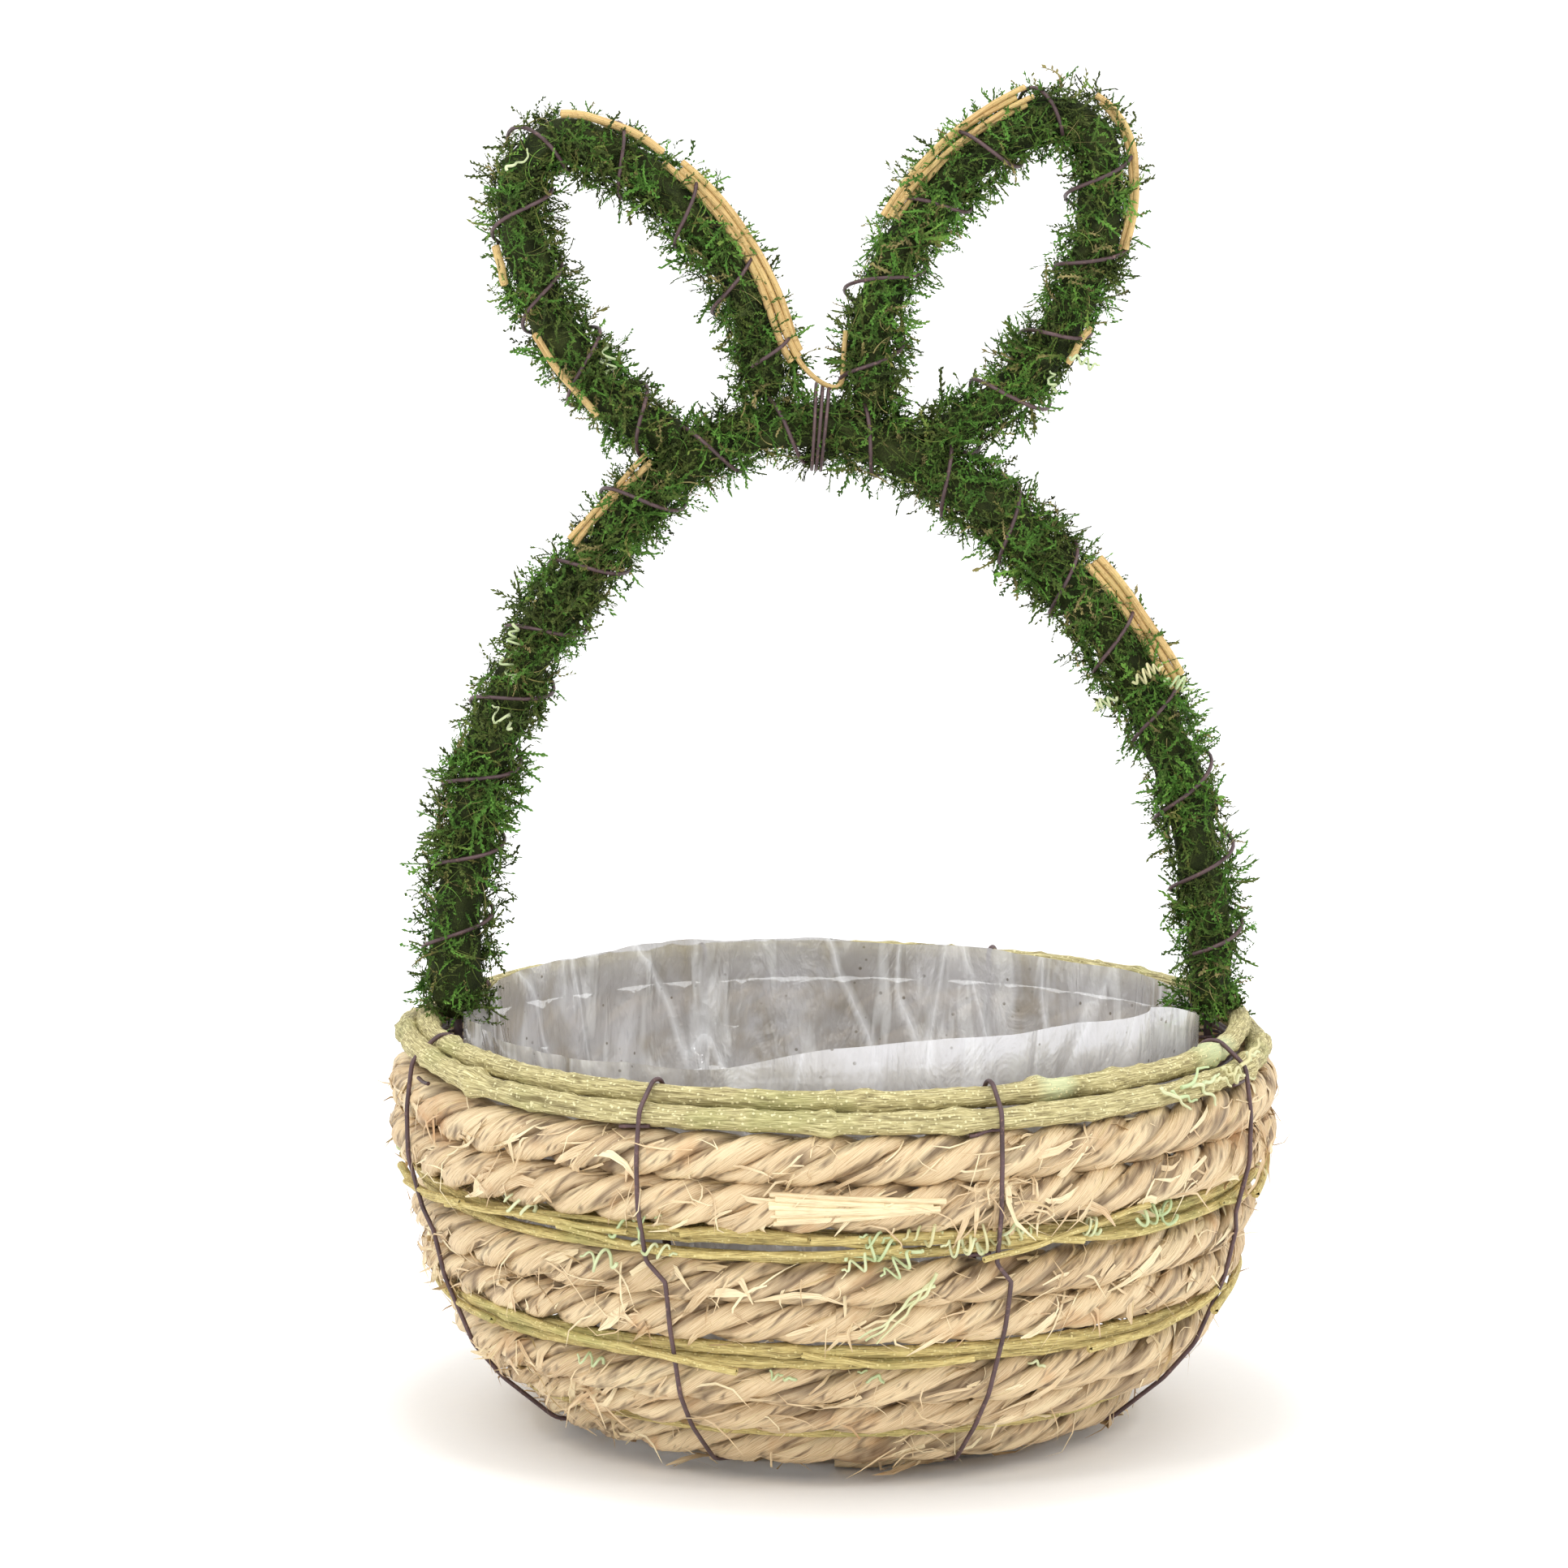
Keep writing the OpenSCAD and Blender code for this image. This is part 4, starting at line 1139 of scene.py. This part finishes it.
def tendrils():
    """Curled tendrils on the handle and in the bands of the bowl."""
    rng = dice(500)
    left, right = ear_course("left"), ear_course("right")
    heap = Heap()
    # Where each starts: the course, the share of the way along and the angle, then its length in mm and loops
    spots = (
        (ARCH, 0.775, 0.9, 9, 4), (ARCH, 0.765, 1.7, 10, 5), (ARCH, 0.77, 2.3, 8, 4),
        (ARCH, 0.26, 0.7, 10, 4), (ARCH, 0.24, 1.0, 8, 3), (ARCH, 0.2, 1.9, 9, 2),
        (right, 0.31, 0.2, 7, 4), (right, 0.29, 0.4, 6, 3), (right, 0.78, 1.0, 9, 3),
        (right, 0.82, 0.6, 7, 2), (left, 0.2, 2.6, 9, 3), (left, 0.46, 1.3, 9, 1),
    )
    for course, share, angle, length, loops in spots:
        start = course.beside(np.array([share * course.length]), np.array([angle]), HANDLE_MOSS_R * 0.98)[0]
        way = rng.normal(size=3) * [1, 0.15, 1]
        curl(heap, rng, start, way, length * MM, 1.8 * MM, loops)
    heap.piece("tendrils_on_moss", tendril)
    heap = Heap()
    band_r, band_z, _ = ring_of("vine_band_a_1")
    rim_r, rim_z, rim_s = RIM_LOWER
    # In the upper band: the turn from the front, the height from the band, the length in mm and the loops
    places = [(-0.52, 0, 18, 2), (-0.46, -3, 14, 3), (-0.5, -9, 12, 2), (0.02, -5, 14, 2), (0.1, -4, 12, 2)]
    places += [(turn, rng.uniform(-3, 3), rng.uniform(8, 15), 3) for turn in np.linspace(0.14, 0.42, 7)]
    places += [
        (turn, rng.uniform(-3, 3), rng.uniform(6, 14), int(rng.integers(1, 4)))
        for turn in rng.uniform(0.6, 5.6, 16)
    ]
    for turn, lift, length, loops in places:
        start = around(band_r + 4.2 * MM, band_z + lift * MM, turn)
        way = np.array([math.cos(turn), math.sin(turn), rng.normal(0, 0.5)]) * rng.choice([-1, 1])
        curl(heap, rng, start, way, length * MM, 2.8 * MM, loops, 0.5 * MM)
    for turn in np.linspace(0.78, 1.16, 11):
        start = around(rim_r + rim_s, rim_z + rng.uniform(-3, 4) * MM, turn)
        way = np.array([math.cos(turn), math.sin(turn), rng.uniform(-0.9, 0.7)])
        curl(heap, rng, start, way, rng.uniform(7, 15) * MM, 0.8 * MM, 1, 0.55 * MM)
    for drop in (0, 2, 4):
        start = around(ROPES[2][0] + ROPES[2][2] + 1.5 * MM, ROPES[2][1] + (4 - drop) * MM, 0.22)
        curl(heap, rng, start, (-0.6, -0.05, -0.8 + 0.1 * drop), 26 * MM, 0.8 * MM, 1, 0.5 * MM)
    for turn in (0.12, -0.1, -0.62, 0.55):
        start = around(ROPES[4][0] + ROPES[4][2], ROPES[4][1] + 2 * MM, turn)
        curl(heap, rng, start, (rng.choice([-1, 1]), 0, 0.4), 8 * MM, 1.6 * MM, 2, 0.45 * MM)
    heap.piece("tendrils_on_bowl", tendril)


def loose_vines():
    """Thin vine stems that cross over the two bands and droop in front of the rope below."""
    rng = dice(600)
    for name, node, count in (("a", "vine_band_a_1", 20), ("b", "vine_band_b_1", 8)):
        radius, height, section = ring_of(node)
        heap = Heap()
        for k in range(count):
            span = rng.uniform(0.35, 1.1)
            middle = TURN * (k + rng.uniform(-0.3, 0.3)) / count
            turn = np.linspace(middle - span / 2, middle + span / 2, 60)
            t = np.linspace(-1, 1, 60)
            slope, droop = rng.normal(0, 2.4), rng.uniform(-4.5, 3.5)
            z = height + (slope * t + droop * (1 - t * t) - 1.2) * MM + wave(rng, t * 2, 1, 4, 0.8 * MM)
            r = radius + section * 0.75 + (0.5 + 1.2 * (k % 3)) * MM + 1.2 * MM * t**4
            heap.tube(around(r, z, turn), rng.uniform(0.8, 1.35) * MM, 9, rng.uniform(0.2, 0.6))
        heap.piece(f"vine_band_{name}_loose", band_bark, [node])


# ---- the CAD pieces that stay ----


def finish_cad_pieces():
    """Materials for the CAD pieces that still show, which are wires and stems."""
    for name, node in frame["nodes"].items():
        if node.hide_render:
            continue
        if "stem" in name:
            material = dry_stem
        elif "tie" in name:
            material = tie_steel
        else:
            material = frame_steel
        for slot in node.material_slots:
            slot.material = material


# ---- the setting ----


def floor():
    """A pale floor that fades into the white surroundings."""
    s = Shader("floor", Roughness=0.9, Specular_IOR_Level=0.1)
    place = s.node("TexCoord").outputs["Object"]
    away = s.node("VectorMath", {0: place}, operation="LENGTH").outputs["Value"]
    grain = s.noise((300, 300, 300), None, 2)
    s.feed(s.surface.inputs["Alpha"], s.clip(away, 1.5, 2.8, 1.0, 0.0))
    material = s.finish(s.ramp(grain, (0.3, (0.955, 0.955, 0.955)), (0.7, (0.965, 0.965, 0.965))))
    rings, spokes = 24, 96
    turn = np.linspace(0, TURN, spokes, endpoint=False)[None, :]
    radius = np.linspace(0.02, 3.0, rings)[:, None]
    heap = Heap()
    way_out, way_around = np.linspace(0, 3, rings), np.linspace(0, 3, spokes + 1)
    heap.grid(around(radius, 0.0, turn), way_out, way_around, closed=(False, True))
    middle = around(np.array([[0.0], [0.02]]), 0.0, turn)
    heap.grid(middle, np.zeros(2), np.zeros(spokes + 1), closed=(False, True))
    heap.build("floor", material)


def lamp(name, place, size, power, aim=(0, 0, 0.16)):
    """A soft round lamp that faces the middle of the basket."""
    light = bpy.data.lights.new(name, "AREA")
    light.shape = "DISK"
    light.size = size
    light.energy = power
    made = bpy.data.objects.new(name, light)
    made.location = place
    way = np.array(aim) - np.array(place)
    tilt = math.acos(-way[2] / np.linalg.norm(way))
    made.rotation_euler = (tilt, 0, math.atan2(way[1], way[0]) - math.pi / 2)
    bpy.context.scene.collection.objects.link(made)


def surroundings():
    """Even white light from all around, and three soft lamps."""
    world = bpy.data.worlds.new("studio")
    world.use_nodes = True
    background = world.node_tree.nodes["Background"]
    background.inputs["Color"].default_value = (1, 1, 1, 1)
    background.inputs["Strength"].default_value = 1.25
    bpy.context.scene.world = world
    lamp("left", (-0.9, -1.2, 1.5), 0.36, 5.5)
    lamp("right", (1.0, -1.1, 1.4), 0.36, 5)
    lamp("above", (-0.1, -0.25, 2.0), 0.45, 7)
    bpy.context.scene.view_settings.view_transform = "Standard"


def camera():
    """Level with the bowl and a little above it, far enough away to look nearly flat."""
    place, aim, frame_width = (-14.6 * MM, -1.8, 0.45), (-14.6 * MM, 0.0, 0.19), 463.7 * MM
    data = bpy.data.cameras.new("camera")
    distance = math.dist(place, aim)
    data.sensor_width = 36
    data.lens = 36 * distance / frame_width
    made = bpy.data.objects.new("camera", data)
    made.location = place
    made.rotation_euler = (math.pi / 2 - math.atan2(place[2] - aim[2], aim[1] - place[1]), 0, 0)
    bpy.context.scene.collection.objects.link(made)
    bpy.context.scene.camera = made


camera()
surroundings()
floor()
for rope in range(1, 8):
    straw_rope(rope)
base_coil()
rim_and_bands()
lash_wires()
liner()
handle_and_ears()
shown_stems()
tendrils()
loose_vines()
finish_cad_pieces()

bpy.context.view_layer.update()
